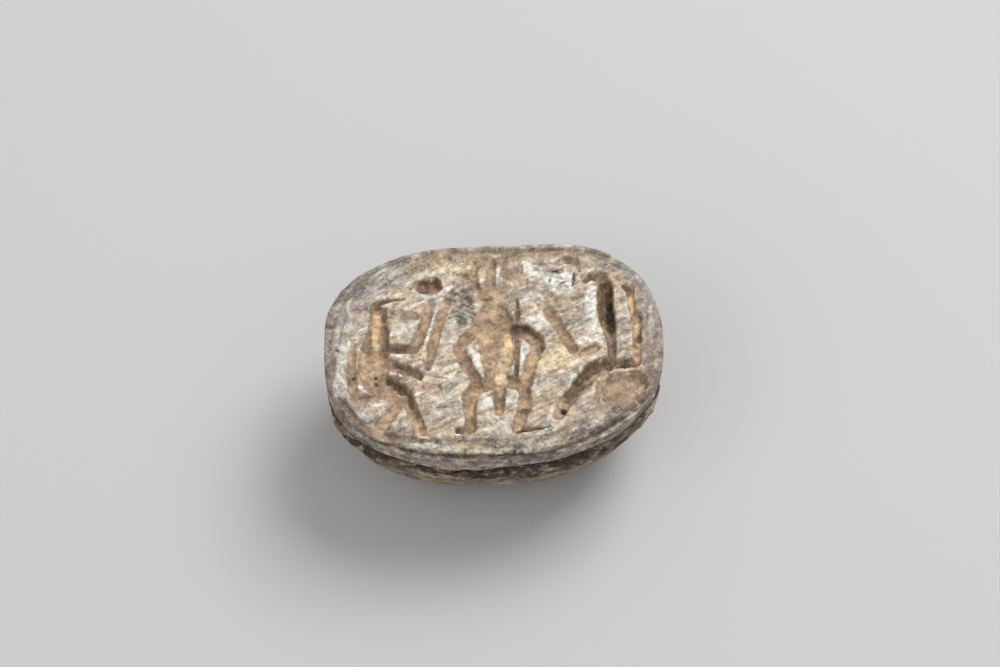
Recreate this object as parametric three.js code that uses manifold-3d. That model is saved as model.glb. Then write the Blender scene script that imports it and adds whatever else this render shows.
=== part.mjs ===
// Scarab seal, lying on the beetle's back with its engraved face up.
// Millimetres, +Z up. X runs along the beetle with the head at -X, and the origin is under the middle.
import * as THREE from 'three';
import { ConvexGeometry } from 'three/addons/geometries/ConvexGeometry.js';
import { mergeVertices } from 'three/addons/utils/BufferGeometryUtils.js';
import Module from 'manifold-3d';

// --- Overall sizes --------------------------------------------------------------------------------
const LENGTH = 18.0;
const WIDTH = 13.2;
const HEIGHT = 7.6;

// Outline of the face: an oval that leans a little, squarer on its far side than on its near side,
// with one full shoulder.
const FAR_POWER = 2.62;
const NEAR_POWER = 2.3;
const OUTLINE_LEAN = 0.11;
const OUTLINE_CORNERS = 0.01;
const SHOULDER = { swell: 0.27, turn: 0.82, spread: 0.3 };
const OUTLINE_SIDES = 80;

// Side profile, measured down from the face.
const EDGE_WEAR = 0.14;
const PLATE_DEPTH = 1.45;
const RECESS_FLOOR_DEPTH = 1.85;
const RECESS_INSET = 0.62;
const LEDGE_DEPTH = 2.5;
const MARGIN_DEPTH = 2.95;
const BACK_INSET = 0.42;
const BACK_WORN_OFF = 0.25;
const BACK_RINGS = 9;

// The string bore runs the whole length, through the leg zone.
const BORE_RADIUS = 0.75;
const BORE_DEPTH = 2.95;
const BORE_FLARE = 0.25;
const BORE_MOUTH = 2;
const BORE_SIDES = 14;

// The sunk picture. Its middle lies a little below the middle of the seal.
const PICTURE_MIDDLE_Y = -0.18;
const CUTTER_RISE = 0.2;
const WALL_DROP = 0.6;
const WALL_SHARE = 0.9;
const FLOOR_SHARE = 0.5;
const END_ANGLES = [0.7, 1.3];
const END_RISE = 0.4;

// Damage: the roundness of the scoops, and the flake broken off the near right corner.
const SCOOP_SIDES = 14;
const SCOOP_RINGS = 10;
const FLAKE = { length: 7.2, width: 1.6, height: 1.2, slopeDegrees: 38, turnDegrees: 31, x: 5.0, y: -4.73 };

// The beetle's legs on one side, each from the plate down to the ledge, in degrees of turn round the
// seal. The first two bars are the bent front leg, then come the middle leg and the hind leg.
const LEGS = [
  { topDegrees: 152, lowDegrees: 164 },
  { topDegrees: 129, lowDegrees: 142 },
  { topDegrees: 123, lowDegrees: 112 },
  { topDegrees: 56, lowDegrees: 28 },
];
const LEG_RADIUS = 0.34;
const LEG_STEPS = 2;

// Lines on the beetle's back: the wing cases start at WING_LINE_X.
const WING_LINE_X = -2.9;
const CORE_RISE = 1;
const BACK_LINE_WIDTH = 0.36;
const BACK_LINE_DEPTH = 0.22;

// Limits below which the cut mesh is tidied.
const SHORTEST_EDGE = 0.012;
const THINNEST_FACE = 0.003;
const NEEDLE_PASSES = 40;

const wasm = await Module();
wasm.setup();

// --- Solids ---------------------------------------------------------------------------------------
function toSolid(geometry) {
  const bare = geometry.clone();
  bare.deleteAttribute('normal');
  bare.deleteAttribute('uv');
  const merged = mergeVertices(bare, 1e-5);
  const mesh = new wasm.Mesh({
    numProp: 3,
    vertProperties: new Float32Array(merged.attributes.position.array),
    triVerts: new Uint32Array(merged.index.array),
  });
  return new wasm.Manifold(mesh);
}

function toGeometry(solid) {
  const mesh = solid.getMesh();
  const points = [];
  for (let i = 0; i < mesh.vertProperties.length; i += 3) {
    points.push(new THREE.Vector3().fromArray(mesh.vertProperties, i));
  }
  const triangles = [];
  for (let i = 0; i < mesh.triVerts.length; i += 3) {
    triangles.push(Array.from(mesh.triVerts.slice(i, i + 3)));
  }
  const geometry = new THREE.BufferGeometry().setFromPoints(points);
  geometry.setIndex(withoutNeedles(points, triangles).flat());
  geometry.computeVertexNormals();
  return geometry;
}

function joinAll(solids) {
  return solids.reduce((whole, solid) => whole.add(solid));
}

// --- Needles --------------------------------------------------------------------------------------
// Cuts leave triangles far finer than any tool mark. A very short edge closes up to a point, and a flat
// sliver swaps its long edge for the one across, so the surface stays where it was.
function facesAround(triangles) {
  const faces = new Map();
  triangles.forEach((triangle, face) => {
    for (const vertex of triangle) {
      faces.set(vertex, (faces.get(vertex) ?? new Set()).add(face));
    }
  });
  return faces;
}

function neighbours(vertex, triangles, faces) {
  return new Set([...faces.get(vertex)].flatMap((face) => triangles[face]));
}

function longestEdgeFirst(triangle, points) {
  const turns = [0, 1, 2].map((i) => [triangle[i], triangle[(i + 1) % 3], triangle[(i + 2) % 3]]);
  const lengthOf = ([a, b]) => points[a].distanceTo(points[b]);
  return turns.sort((one, other) => lengthOf(other) - lengthOf(one));
}

function closeEdge([keep, drop], triangles, faces, locked) {
  const around = neighbours(keep, triangles, faces);
  const aroundDropped = neighbours(drop, triangles, faces);
  const shared = [...around].filter((vertex) => aroundDropped.has(vertex));
  const ring = [...around, ...aroundDropped];
  if (shared.length !== 4 || ring.some((vertex) => locked.has(vertex))) {
    return false;
  }
  for (const face of faces.get(drop)) {
    triangles[face] = triangles[face].map((vertex) => (vertex === drop ? keep : vertex));
  }
  ring.forEach((vertex) => locked.add(vertex));
  return true;
}

function swapEdge([a, b, c], face, triangles, faces, locked) {
  const across = [...faces.get(a)].find((other) => other !== face && triangles[other].includes(b));
  const d = triangles[across].find((vertex) => vertex !== a && vertex !== b);
  if ([a, b, c, d].some((vertex) => locked.has(vertex)) || neighbours(c, triangles, faces).has(d)) {
    return false;
  }
  triangles[face] = [a, d, c];
  triangles[across] = [d, b, c];
  [a, b, c, d].forEach((vertex) => locked.add(vertex));
  return true;
}

function withoutNeedles(points, triangles) {
  let changed = true;
  for (let pass = 0; changed && pass < NEEDLE_PASSES; pass += 1) {
    changed = false;
    const faces = facesAround(triangles);
    const locked = new Set();
    triangles.forEach((triangle, face) => {
      if (triangle.some((vertex) => locked.has(vertex))) {
        return;
      }
      const [longest, , shortest] = longestEdgeFirst(triangle, points);
      const longestLength = points[longest[0]].distanceTo(points[longest[1]]);
      const shortestLength = points[shortest[0]].distanceTo(points[shortest[1]]);
      const height = (2 * new THREE.Triangle(...triangle.map((i) => points[i])).getArea()) / longestLength;
      if (shortestLength < SHORTEST_EDGE) {
        changed = closeEdge(shortest, triangles, faces, locked) || changed;
      } else if (height < THINNEST_FACE) {
        changed = swapEdge(longest, face, triangles, faces, locked) || changed;
      }
    });
    triangles = triangles.filter((triangle) => new Set(triangle).size === 3);
  }
  return triangles;
}

// --- Outline --------------------------------------------------------------------------------------
function rawRadius(turn) {
  const power = Math.sin(turn) > 0 ? FAR_POWER : NEAR_POWER;
  const cosine = Math.abs(Math.cos(turn)) / (LENGTH / 2);
  const sine = Math.abs(Math.sin(turn)) / (WIDTH / 2);
  const oval = (cosine ** power + sine ** power) ** (-1 / power);
  const swell = SHOULDER.swell * Math.exp(-(((turn - SHOULDER.turn) / SHOULDER.spread) ** 2));
  return oval * (1 + OUTLINE_CORNERS * Math.sin(4 * turn)) + swell;
}

function rawPoint(turn) {
  const direction = turn + OUTLINE_LEAN;
  return new THREE.Vector2(Math.cos(direction), Math.sin(direction)).multiplyScalar(rawRadius(turn));
}

// The leaning oval is fitted back to the exact length and width, and centred.
const rawBox = new THREE.Box2();
for (let i = 0; i < OUTLINE_SIDES; i += 1) {
  rawBox.expandByPoint(rawPoint((2 * Math.PI * i) / OUTLINE_SIDES));
}
const rawMiddle = rawBox.getCenter(new THREE.Vector2());
const rawSize = rawBox.getSize(new THREE.Vector2());

function outlinePoint(turn) {
  const point = rawPoint(turn).sub(rawMiddle);
  return point.multiply(new THREE.Vector2(LENGTH / rawSize.x, WIDTH / rawSize.y));
}

// A point on the side of the seal: drawn in by an inset, and shrunk towards the middle by a scale.
function sidePoint(turn, depth, inset, scale = 1) {
  const point = outlinePoint(turn);
  const reach = Math.max(point.length() - inset, 0) * scale;
  point.setLength(reach);
  return new THREE.Vector3(point.x, point.y, HEIGHT - depth);
}

// --- Body -----------------------------------------------------------------------------------------
function backLevels(shrink) {
  const startInset = BACK_INSET + shrink;
  const fullDrop = HEIGHT + BACK_WORN_OFF - MARGIN_DEPTH - shrink;
  const levels = [];
  for (let i = 1; i <= BACK_RINGS; i += 1) {
    const angle = (Math.PI / 2) * (i / (BACK_RINGS + 1));
    levels.push({
      depth: MARGIN_DEPTH + fullDrop * Math.sin(angle),
      inset: startInset,
      scale: Math.cos(angle),
    });
  }
  return levels;
}

// The back is cut off flat where the highest part of the beetle has worn down.
function flatLevel() {
  const fullDrop = HEIGHT + BACK_WORN_OFF - MARGIN_DEPTH;
  const sine = (HEIGHT - MARGIN_DEPTH) / fullDrop;
  return { depth: HEIGHT, inset: BACK_INSET, scale: Math.sqrt(1 - sine * sine) };
}

function loft(levels) {
  const positions = [];
  const index = [];
  for (const level of levels) {
    for (let i = 0; i < OUTLINE_SIDES; i += 1) {
      const point = sidePoint((2 * Math.PI * i) / OUTLINE_SIDES, level.depth, level.inset, level.scale);
      positions.push(point.x, point.y, point.z);
    }
  }
  for (let row = 0; row + 1 < levels.length; row += 1) {
    for (let i = 0; i < OUTLINE_SIDES; i += 1) {
      const next = (i + 1) % OUTLINE_SIDES;
      const upper = row * OUTLINE_SIDES;
      const lower = upper + OUTLINE_SIDES;
      index.push(upper + i, lower + i, lower + next);
      index.push(upper + i, lower + next, upper + next);
    }
  }
  const top = positions.length / 3;
  const bottom = top + 1;
  const lastRow = (levels.length - 1) * OUTLINE_SIDES;
  positions.push(0, 0, HEIGHT - levels[0].depth);
  positions.push(0, 0, HEIGHT - levels[levels.length - 1].depth);
  for (let i = 0; i < OUTLINE_SIDES; i += 1) {
    const next = (i + 1) % OUTLINE_SIDES;
    index.push(top, i, next);
    index.push(bottom, lastRow + next, lastRow + i);
  }
  const geometry = new THREE.BufferGeometry();
  geometry.setAttribute('position', new THREE.Float32BufferAttribute(positions, 3));
  geometry.setIndex(index);
  return toSolid(geometry);
}

function makeBody() {
  const plate = [
    { depth: 0, inset: EDGE_WEAR, scale: 1 },
    { depth: EDGE_WEAR, inset: 0, scale: 1 },
    { depth: PLATE_DEPTH - EDGE_WEAR, inset: 0, scale: 1 },
    { depth: PLATE_DEPTH, inset: EDGE_WEAR, scale: 1 },
  ];
  const legZone = [
    { depth: PLATE_DEPTH + EDGE_WEAR, inset: RECESS_INSET, scale: 1 },
    { depth: RECESS_FLOOR_DEPTH, inset: RECESS_INSET + EDGE_WEAR, scale: 1 },
    { depth: LEDGE_DEPTH, inset: EDGE_WEAR, scale: 1 },
    { depth: MARGIN_DEPTH - EDGE_WEAR, inset: EDGE_WEAR / 2, scale: 1 },
    { depth: MARGIN_DEPTH, inset: BACK_INSET, scale: 1 },
  ];
  const back = backLevels(0).filter((level) => level.depth < HEIGHT);
  return loft([...plate, ...legZone, ...back, flatLevel()]);
}

// --- Cutters for the picture ----------------------------------------------------------------------
function loftSections(sections) {
  const size = sections[0].length;
  const positions = sections.flat().flatMap((point) => [point.x, point.y, point.z]);
  const index = [];
  for (let row = 0; row + 1 < sections.length; row += 1) {
    for (let i = 0; i < size; i += 1) {
      const here = row * size + i;
      const beside = row * size + ((i + 1) % size);
      index.push(here, here + size, beside + size);
      index.push(here, beside + size, beside);
    }
  }
  const last = (sections.length - 1) * size;
  for (let i = 1; i + 1 < size; i += 1) {
    index.push(0, i, i + 1);
    index.push(last, last + i + 1, last + i);
  }
  const geometry = new THREE.BufferGeometry();
  geometry.setAttribute('position', new THREE.Float32BufferAttribute(positions, 3));
  geometry.setIndex(index);
  return toSolid(geometry);
}

// The section of a stroke at one place: steep walls and a rounded floor, open above the face.
function strokeSection(middle, across, halfWidth, depth) {
  const half = [
    [1, CUTTER_RISE],
    [WALL_SHARE, -depth * WALL_DROP],
    [FLOOR_SHARE, -depth],
  ];
  const mirrored = half.map(([share, height]) => [-share, height]).reverse();
  return [...half, ...mirrored].map(([share, height]) => new THREE.Vector3(
    middle.x + across.x * halfWidth * share,
    middle.y + across.y * halfWidth * share + PICTURE_MIDDLE_Y,
    HEIGHT + height,
  ));
}

// A stroke runs from joint to joint and ends round. Each joint is [x, y] or [x, y, its own width].
function stroke(width, depth, ...joints) {
  const points = joints.map(([x, y]) => new THREE.Vector2(x, y));
  const headings = [];
  for (let i = 0; i + 1 < points.length; i += 1) {
    headings.push(points[i + 1].clone().sub(points[i]).normalize());
  }
  const sections = [];
  const addEnd = (point, outward, across, halfWidth, angles) => {
    for (const angle of angles) {
      const reach = point.clone().addScaledVector(outward, halfWidth * Math.sin(angle));
      const narrowing = Math.cos(angle);
      const endDepth = depth * (END_RISE + (1 - END_RISE) * narrowing);
      sections.push(strokeSection(reach, across, halfWidth * narrowing, endDepth));
    }
  };
  points.forEach((point, i) => {
    const before = headings[Math.max(i - 1, 0)];
    const after = headings[Math.min(i, headings.length - 1)];
    const along = before.clone().add(after).normalize();
    const across = new THREE.Vector2(-along.y, along.x);
    const halfWidth = (joints[i][2] ?? width) / 2;
    const mitre = 1 / Math.max(along.dot(before), 0.5);
    if (i === 0) {
      addEnd(point, after.clone().negate(), across, halfWidth, END_ANGLES.toReversed());
    }
    sections.push(strokeSection(point, across, halfWidth * mitre, depth));
    if (i === points.length - 1) {
      addEnd(point, before, across, halfWidth, END_ANGLES);
    }
  });
  return loftSections(sections);
}

// A stroke along a smooth curve through a few joints.
function curvedStroke(width, depth, steps, ...joints) {
  const curve = new THREE.SplineCurve(joints.map(([x, y]) => new THREE.Vector2(x, y)));
  return stroke(width, depth, ...curve.getSpacedPoints(steps).map((point) => [point.x, point.y]));
}

// --- The figures, all sunk into the face ----------------------------------------------------------
// The figure in the middle stands frontally: feather crown, hands on bowed thighs, a hanging tail.
function middleFigure() {
  const feathers = [
    [-1.0, 5.5, 4.2, 0.3],
    [-0.2, 5.7, 4.3, 0.4],
    [0.6, 5.8, 4.6, 0.4],
    [1.15, 5.9, 4.9, 0.35],
  ];
  const crown = feathers.map(([x, top, foot, width]) => stroke(width, 0.28, [x, top], [x, foot]));
  const limbs = [
    stroke(0.3, 0.2, [-2.5, 4.9], [-1.6, 4.7], [-0.9, 4.1]),
    stroke(1.9, 0.36, [0.15, 3.55], [0.1, 3.1, 1.7]),
    stroke(1.75, 0.5, [0.1, 2.9, 1.5], [0.1, 1.6], [0.15, 0.1], [0.2, -1.1, 1.4], [0.2, -1.9, 1.0]),
    stroke(0.6, 0.35, [-0.7, 1.5], [-1.85, 0.2], [-0.85, -1.8]),
    stroke(0.6, 0.4, [0.9, 1.8], [1.6, 1.4], [2.5, 0.5], [1.8, -1.0], [1.7, -1.9]),
    stroke(0.75, 0.42, [-0.2, -2.0], [-1.3, -2.75], [-1.2, -4.85]),
    stroke(0.42, 0.3, [-1.2, -4.95], [-2.0, -4.9]),
    stroke(0.7, 0.38, [0.8, -1.9], [1.85, -2.4], [1.65, -3.7], [1.2, -4.25], [1.2, -4.9]),
    stroke(0.34, 0.3, [1.2, -5.0], [2.9, -4.65]),
    stroke(0.6, 0.3, [0.25, -2.2], [0.25, -3.9]),
  ];
  return [...crown, ...limbs];
}

// The ape on the left faces right: raised tail, one arm up, two sticks held towards the middle.
function leftApe() {
  return [
    stroke(0.4, 0.16, [-6.2, 3.05], [-5.1, 3.15]),
    stroke(1.0, 0.45, [-6.15, 2.6, 0.8], [-6.15, 1.0], [-6.2, 0, 1.1], [-6.35, -1.2, 1.5], [-6.3, -2.1, 1.3]),
    stroke(0.5, 0.16, [-5.7, 2.2], [-4.3, 2.3]),
    stroke(0.65, 0.36, [-5.7, 0.3], [-4.4, 0.0], [-3.9, 0.6], [-3.5, 2.8]),
    stroke(0.6, 0.32, [-3.6, -1.0], [-3.1, 1.0], [-2.55, 2.9]),
    stroke(0.7, 0.4, [-5.7, -0.9], [-4.5, -1.25], [-4.1, -1.65]),
    stroke(0.8, 0.5, [-5.7, -1.9], [-4.5, -2.75], [-3.8, -5.1]),
    stroke(0.68, 0.4, [-5.1, -3.1], [-6.15, -4.85]),
    curvedStroke(0.55, 0.34, 7, [-7.6, 0.4], [-7.65, -1.4], [-7.35, -2.95], [-5.7, -2.8]),
  ];
}

// The ape on the right faces left: a deep upright body, a knobbed tail behind it, one stick in front.
function rightApe() {
  return [
    stroke(0.55, 0.36, [4.95, 4.45], [5.25, 4.7], [5.8, 4.7]),
    stroke(0.95, 0.6, [5.75, 4.4, 0.8], [5.9, 2.6], [6.15, 1.0, 0.75], [6.25, -0.6, 0.6]),
    stroke(0.5, 0.4, [6.95, 4.1, 0.4], [7.3, 3.7], [7.5, 2.0, 0.66], [7.6, 1.0, 0.6], [7.65, -0.6]),
    stroke(0.6, 0.5, [5.7, -0.8], [7.45, -0.9]),
    stroke(0.6, 0.35, [2.65, 2.85], [3.4, 1.2], [4.15, 0.1]),
    stroke(0.45, 0.2, [4.5, -0.3], [5.6, 0.35]),
    stroke(0.75, 0.48, [5.9, -0.7], [4.8, -1.5], [4.5, -2.4], [3.75, -3.1], [3.35, -4.05, 0.6]),
    stroke(0.36, 0.7, [3.65, -3.55], [3.65, -3.75]),
    stroke(0.34, 0.24, [5.2, -2.0], [5.25, -2.9]),
  ];
}

// A shallow line inside the edge, left where it hasn't worn away.
function borderLine(fromDegrees, toDegrees, inset, width, depth, steps) {
  const joints = [];
  for (let i = 0; i <= steps; i += 1) {
    const turn = THREE.MathUtils.degToRad(fromDegrees + ((toDegrees - fromDegrees) * i) / steps);
    const point = sidePoint(turn, 0, inset);
    joints.push([point.x, point.y - PICTURE_MIDDLE_Y]);
  }
  return stroke(width, depth, ...joints);
}

// --- Damage ---------------------------------------------------------------------------------------
function scoop(x, y, halfLength, halfWidth, depth, turnDegrees = 0) {
  const geometry = new THREE.SphereGeometry(1, SCOOP_SIDES, SCOOP_RINGS);
  geometry.scale(halfLength, halfWidth, depth);
  geometry.rotateZ(THREE.MathUtils.degToRad(turnDegrees));
  geometry.translate(x, y + PICTURE_MIDDLE_Y, HEIGHT);
  return toSolid(geometry);
}

function damage() {
  return [
    scoop(-3.55, 4.0, 0.72, 0.55, 0.36, 10),
    scoop(3.6, 4.55, 0.68, 0.66, 0.32),
    scoop(6.75, -2.4, 1.35, 1.0, 0.42, 25),
    scoop(-3.3, -2.4, 0.6, 0.3, 0.14),
  ];
}

// The corner beside the large scoop has broken away in one slanting flake.
function brokenCorner() {
  const flake = new THREE.BoxGeometry(FLAKE.length, FLAKE.width, FLAKE.height);
  flake.translate(0, -FLAKE.width / 2, FLAKE.height / 2);
  flake.rotateX(THREE.MathUtils.degToRad(FLAKE.slopeDegrees));
  flake.rotateZ(THREE.MathUtils.degToRad(FLAKE.turnDegrees));
  flake.translate(FLAKE.x, FLAKE.y, HEIGHT);
  return toSolid(flake);
}

// --- The beetle -----------------------------------------------------------------------------------
// Legs lie in the recess under the plate as slanting bars. Each runs from one place on the side of the
// seal to another, in degrees of turn, and comes down from the plate to the ledge.
function leg(topDegrees, lowDegrees) {
  const knobs = [];
  for (let i = 0; i <= LEG_STEPS; i += 1) {
    const share = i / LEG_STEPS;
    const turn = THREE.MathUtils.degToRad(THREE.MathUtils.lerp(topDegrees, lowDegrees, share));
    const depth = THREE.MathUtils.lerp(PLATE_DEPTH, LEDGE_DEPTH, share);
    const middle = sidePoint(turn, depth, LEG_RADIUS + EDGE_WEAR);
    const knob = new THREE.IcosahedronGeometry(LEG_RADIUS, 0).translate(middle.x, middle.y, middle.z);
    const corners = [];
    for (let j = 0; j < knob.attributes.position.count; j += 1) {
      corners.push(new THREE.Vector3().fromBufferAttribute(knob.attributes.position, j));
    }
    knobs.push(corners);
  }
  const bars = [];
  for (let i = 0; i < LEG_STEPS; i += 1) {
    bars.push(toSolid(new ConvexGeometry([...knobs[i], ...knobs[i + 1]])));
  }
  return joinAll(bars);
}

function legs() {
  const bars = [];
  for (const side of [-1, 1]) {
    for (const { topDegrees, lowDegrees } of LEGS) {
      bars.push(leg(side * topDegrees, side * lowDegrees));
    }
  }
  return bars;
}

// A band along a curve on the plan, standing through the whole back.
function planBand(joints, steps) {
  const curve = new THREE.SplineCurve(joints.map(([x, y]) => new THREE.Vector2(x, y)));
  const left = [];
  const right = [];
  for (let i = 0; i <= steps; i += 1) {
    const point = curve.getPoint(i / steps);
    const tangent = curve.getTangent(i / steps);
    const across = new THREE.Vector2(-tangent.y, tangent.x).multiplyScalar(BACK_LINE_WIDTH / 2);
    left.push(point.clone().add(across));
    right.unshift(point.clone().sub(across));
  }
  const band = new THREE.ExtrudeGeometry(new THREE.Shape([...left, ...right]), {
    depth: HEIGHT - MARGIN_DEPTH + CORE_RISE - EDGE_WEAR,
    bevelEnabled: false,
  });
  band.translate(0, 0, -CORE_RISE);
  return toSolid(band);
}

// The lines are kept off a slightly smaller copy of the back, which leaves them all equally deep.
function backLines() {
  const coreInset = BACK_INSET + BACK_LINE_DEPTH;
  const core = loft([
    { depth: MARGIN_DEPTH - CORE_RISE, inset: coreInset, scale: 1 },
    { depth: MARGIN_DEPTH, inset: coreInset, scale: 1 },
    ...backLevels(BACK_LINE_DEPTH),
  ]);
  const middle = [WING_LINE_X, 0];
  const bands = [
    planBand([[-2.4, -7], [-2.8, -3], middle, [-2.8, 3], [-2.4, 7]], 8),
    planBand([middle, [LENGTH / 2 + 0.5, 0]], 1),
    planBand([[-7.2, -4.6], [-6.3, -2.3], [-6.05, 0], [-6.3, 2.3], [-7.2, 4.6]], 8),
  ];
  for (const side of [-1, 1]) {
    bands.push(planBand([[-6.35, side * 1.7], [-9.2, side * 2.6]], 1));
    bands.push(planBand([[-2.7, side * 4.3], [-1.3, side * 3.6]], 1));
  }
  return joinAll(bands).subtract(core);
}

// The mouths are worn a little wider than the tube.
function bore() {
  const tube = new THREE.CylinderGeometry(BORE_RADIUS, BORE_RADIUS, LENGTH + BORE_MOUTH, BORE_SIDES);
  const wide = BORE_RADIUS + BORE_FLARE;
  const narrow = BORE_RADIUS - BORE_FLARE;
  const mouths = [
    new THREE.CylinderGeometry(wide, narrow, BORE_MOUTH, BORE_SIDES).translate(0, LENGTH / 2, 0),
    new THREE.CylinderGeometry(narrow, wide, BORE_MOUTH, BORE_SIDES).translate(0, -LENGTH / 2, 0),
  ];
  const alongX = (geometry) => geometry.rotateZ(Math.PI / 2).translate(0, 0, HEIGHT - BORE_DEPTH);
  return joinAll([tube, ...mouths].map((geometry) => toSolid(alongX(geometry))));
}

// --- The seal -------------------------------------------------------------------------------------
function scarabSeal() {
  const picture = [
    ...middleFigure(),
    ...leftApe(),
    ...rightApe(),
    borderLine(194, 300, 0.65, 0.3, 0.16, 10),
    borderLine(40, 78, 0.36, 0.24, 0.12, 4),
  ];
  const body = joinAll([makeBody(), ...legs()]);
  const cutters = joinAll([...picture, ...damage(), brokenCorner(), backLines(), bore()]);
  const stone = new THREE.MeshStandardMaterial({ color: 0xb9a68c, roughness: 0.72, metalness: 0.0 });
  const seal = new THREE.Mesh(toGeometry(body.subtract(cutters)), stone);
  seal.name = 'scarab_seal';
  return seal;
}

const group = new THREE.Group();
group.add(scarabSeal());

export default group;
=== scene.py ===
import math

import bpy
import numpy as np
from bpy.props import FloatProperty, FloatVectorProperty, IntProperty, PointerProperty
from bpy.types import Operator, Panel, PropertyGroup
from mathutils import Matrix, Vector


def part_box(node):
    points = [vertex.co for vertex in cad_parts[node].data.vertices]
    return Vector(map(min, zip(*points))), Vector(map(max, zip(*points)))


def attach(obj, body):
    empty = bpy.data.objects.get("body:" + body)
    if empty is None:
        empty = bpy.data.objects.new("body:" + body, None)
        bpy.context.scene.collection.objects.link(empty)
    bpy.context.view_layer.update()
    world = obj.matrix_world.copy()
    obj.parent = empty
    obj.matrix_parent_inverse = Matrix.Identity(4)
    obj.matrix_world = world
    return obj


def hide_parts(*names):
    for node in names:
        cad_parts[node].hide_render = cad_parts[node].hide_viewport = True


bl_info = {
    "name": "Scarab Seal",
    "version": (1, 0, 0),
    "blender": (4, 5, 0),
    "location": "3D Viewport > Sidebar > Scarab Seal",
    "description": "Carves a worn stone scarab seal that lies on the beetle's back",
    "category": "Add Mesh",
}

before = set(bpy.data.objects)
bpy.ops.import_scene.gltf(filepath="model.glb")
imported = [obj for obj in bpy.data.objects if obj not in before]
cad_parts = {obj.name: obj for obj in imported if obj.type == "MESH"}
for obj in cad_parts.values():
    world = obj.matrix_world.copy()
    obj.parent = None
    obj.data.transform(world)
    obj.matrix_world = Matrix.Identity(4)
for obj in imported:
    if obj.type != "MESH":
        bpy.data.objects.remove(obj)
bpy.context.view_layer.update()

# --- Driving sizes ------------------------------------------------------------------------------
# The stone is carved in millimetres and shrunk to metres when it is done.
MM = 0.001
NODE = "scarab_seal"
LOW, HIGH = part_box(NODE)
LENGTH, WIDTH, HEIGHT = ((HIGH - LOW) / MM)

# Outline of the face: an oval that leans a little, squarer on its far side, with one full shoulder.
FAR_POWER = 2.62
NEAR_POWER = 2.3
OUTLINE_LEAN = 0.11
OUTLINE_CORNERS = 0.01
SHOULDER_SWELL = 0.27
SHOULDER_TURN = 0.82
SHOULDER_SPREAD = 0.3
OUTLINE_STEPS = 1440
FAR_AWAY = 9.0  # further than any place on the face is from a stroke

# The picture's middle lies a little below the middle of the seal.
PICTURE_MIDDLE_Y = -0.18

# The beetle's legs on one side, from the plate down to the ledge, in degrees of turn round the seal.
LEGS = ((152, 164), (129, 142), (123, 112), (56, 28))
LEG_RADIUS = 0.3
HEAD_DEGREES = 172  # no leg reaches further round, where the bore opens under the head
WING_LINE_X = -2.9

# The flake broken off the near right corner of the plate.
FLAKE_SIZE = (7.2, 1.6, 1.2)
FLAKE_SLOPE = math.radians(38)
FLAKE_TURN = math.radians(31)
FLAKE_X, FLAKE_Y = 5.0, -4.73


def length_setting(name, description, millimetres):
    return FloatProperty(name=name, description=description, default=millimetres * MM, unit="LENGTH")


def colour_setting(name, description, colour):
    return FloatVectorProperty(name=name, description=description, subtype="COLOR", default=colour)


class SealSizes(PropertyGroup):
    """Sizes of the seal's side and of its wear."""

    plate_depth: length_setting("Plate", "Height of the engraved plate's side", 1.45)
    recess_depth: length_setting("Recess depth", "How far below the face the leg recess is deepest", 1.85)
    recess_inset: length_setting("Recess inset", "How far the leg recess goes in", 0.62)
    ledge_depth: length_setting("Ledge", "How far below the face the wing cases' ledge starts", 2.5)
    margin_depth: length_setting("Margin", "How far below the face the wing cases' margin ends", 2.95)
    back_inset: length_setting("Back inset", "How far the domed back stands in from the margin", 0.42)
    back_worn_off: length_setting("Back worn off", "What has worn off the highest part of the back", 0.25)
    edge_wear: length_setting("Edge wear", "Size of the worn edges", 0.14)
    bore_radius: length_setting("Bore radius", "Radius of the string bore", 0.75)
    bore_depth: length_setting("Bore depth", "How far below the face the bore's axis runs", 2.95)
    bore_flare: length_setting("Bore flare", "How much wider the bore's mouths are", 0.25)
    voxel: length_setting("Grain of the mesh", "Size of the cells that the stone is carved in", 0.05)
    most_triangles: IntProperty(
        name="Triangles", description="Most triangles in the finished seal", default=190000)


class StoneLook(PropertyGroup):
    """Colours of the worn stone."""

    cream: colour_setting("Cream", "Raised surface where the pale slip is left", (0.63, 0.50, 0.35))
    bone: colour_setting("Bone", "Paler, cooler places of the raised surface", (0.73, 0.63, 0.51))
    butter: colour_setting("Butter", "Warm pale places", (0.90, 0.73, 0.47))
    chalk: colour_setting("Chalk", "Fresh chips and lips", (0.92, 0.87, 0.78))
    lilac: colour_setting("Lilac", "Bare stone of the worn rim", (0.48, 0.41, 0.37))
    ash: colour_setting("Ash", "Grey veins of the stone", (0.30, 0.25, 0.21))
    slate: colour_setting("Slate", "Dark veins of the stone", (0.10, 0.085, 0.07))
    straw: colour_setting("Straw", "Yellowish stains", (0.56, 0.405, 0.24))
    # Honey and butter also serve as painted highlight on stroke floors and rolls that face the key light.
    honey: colour_setting("Honey", "Lightest floors of the sunk strokes", (0.80, 0.56, 0.31))
    tan: colour_setting("Tan", "Floors of the sunk strokes", (0.46, 0.31, 0.205))
    clay: colour_setting("Clay", "Duller floors of the sunk strokes", (0.32, 0.22, 0.14))
    rust: colour_setting("Rust", "Reddish earth", (0.20, 0.085, 0.038))
    # Olive earth in the strokes, used also as painted shade on walls that face away from the key light.
    olive_earth_and_shade: colour_setting("Moss", "Olive earth in the deeper strokes", (0.10, 0.072, 0.038))
    # Umber and soot also serve as painted shade on stroke walls, in the leg recess and on the ledge.
    umber: colour_setting("Umber", "Earth left in the deep places", (0.09, 0.052, 0.025))
    soot: colour_setting("Soot", "The darkest earth", (0.018, 0.015, 0.009))


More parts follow.
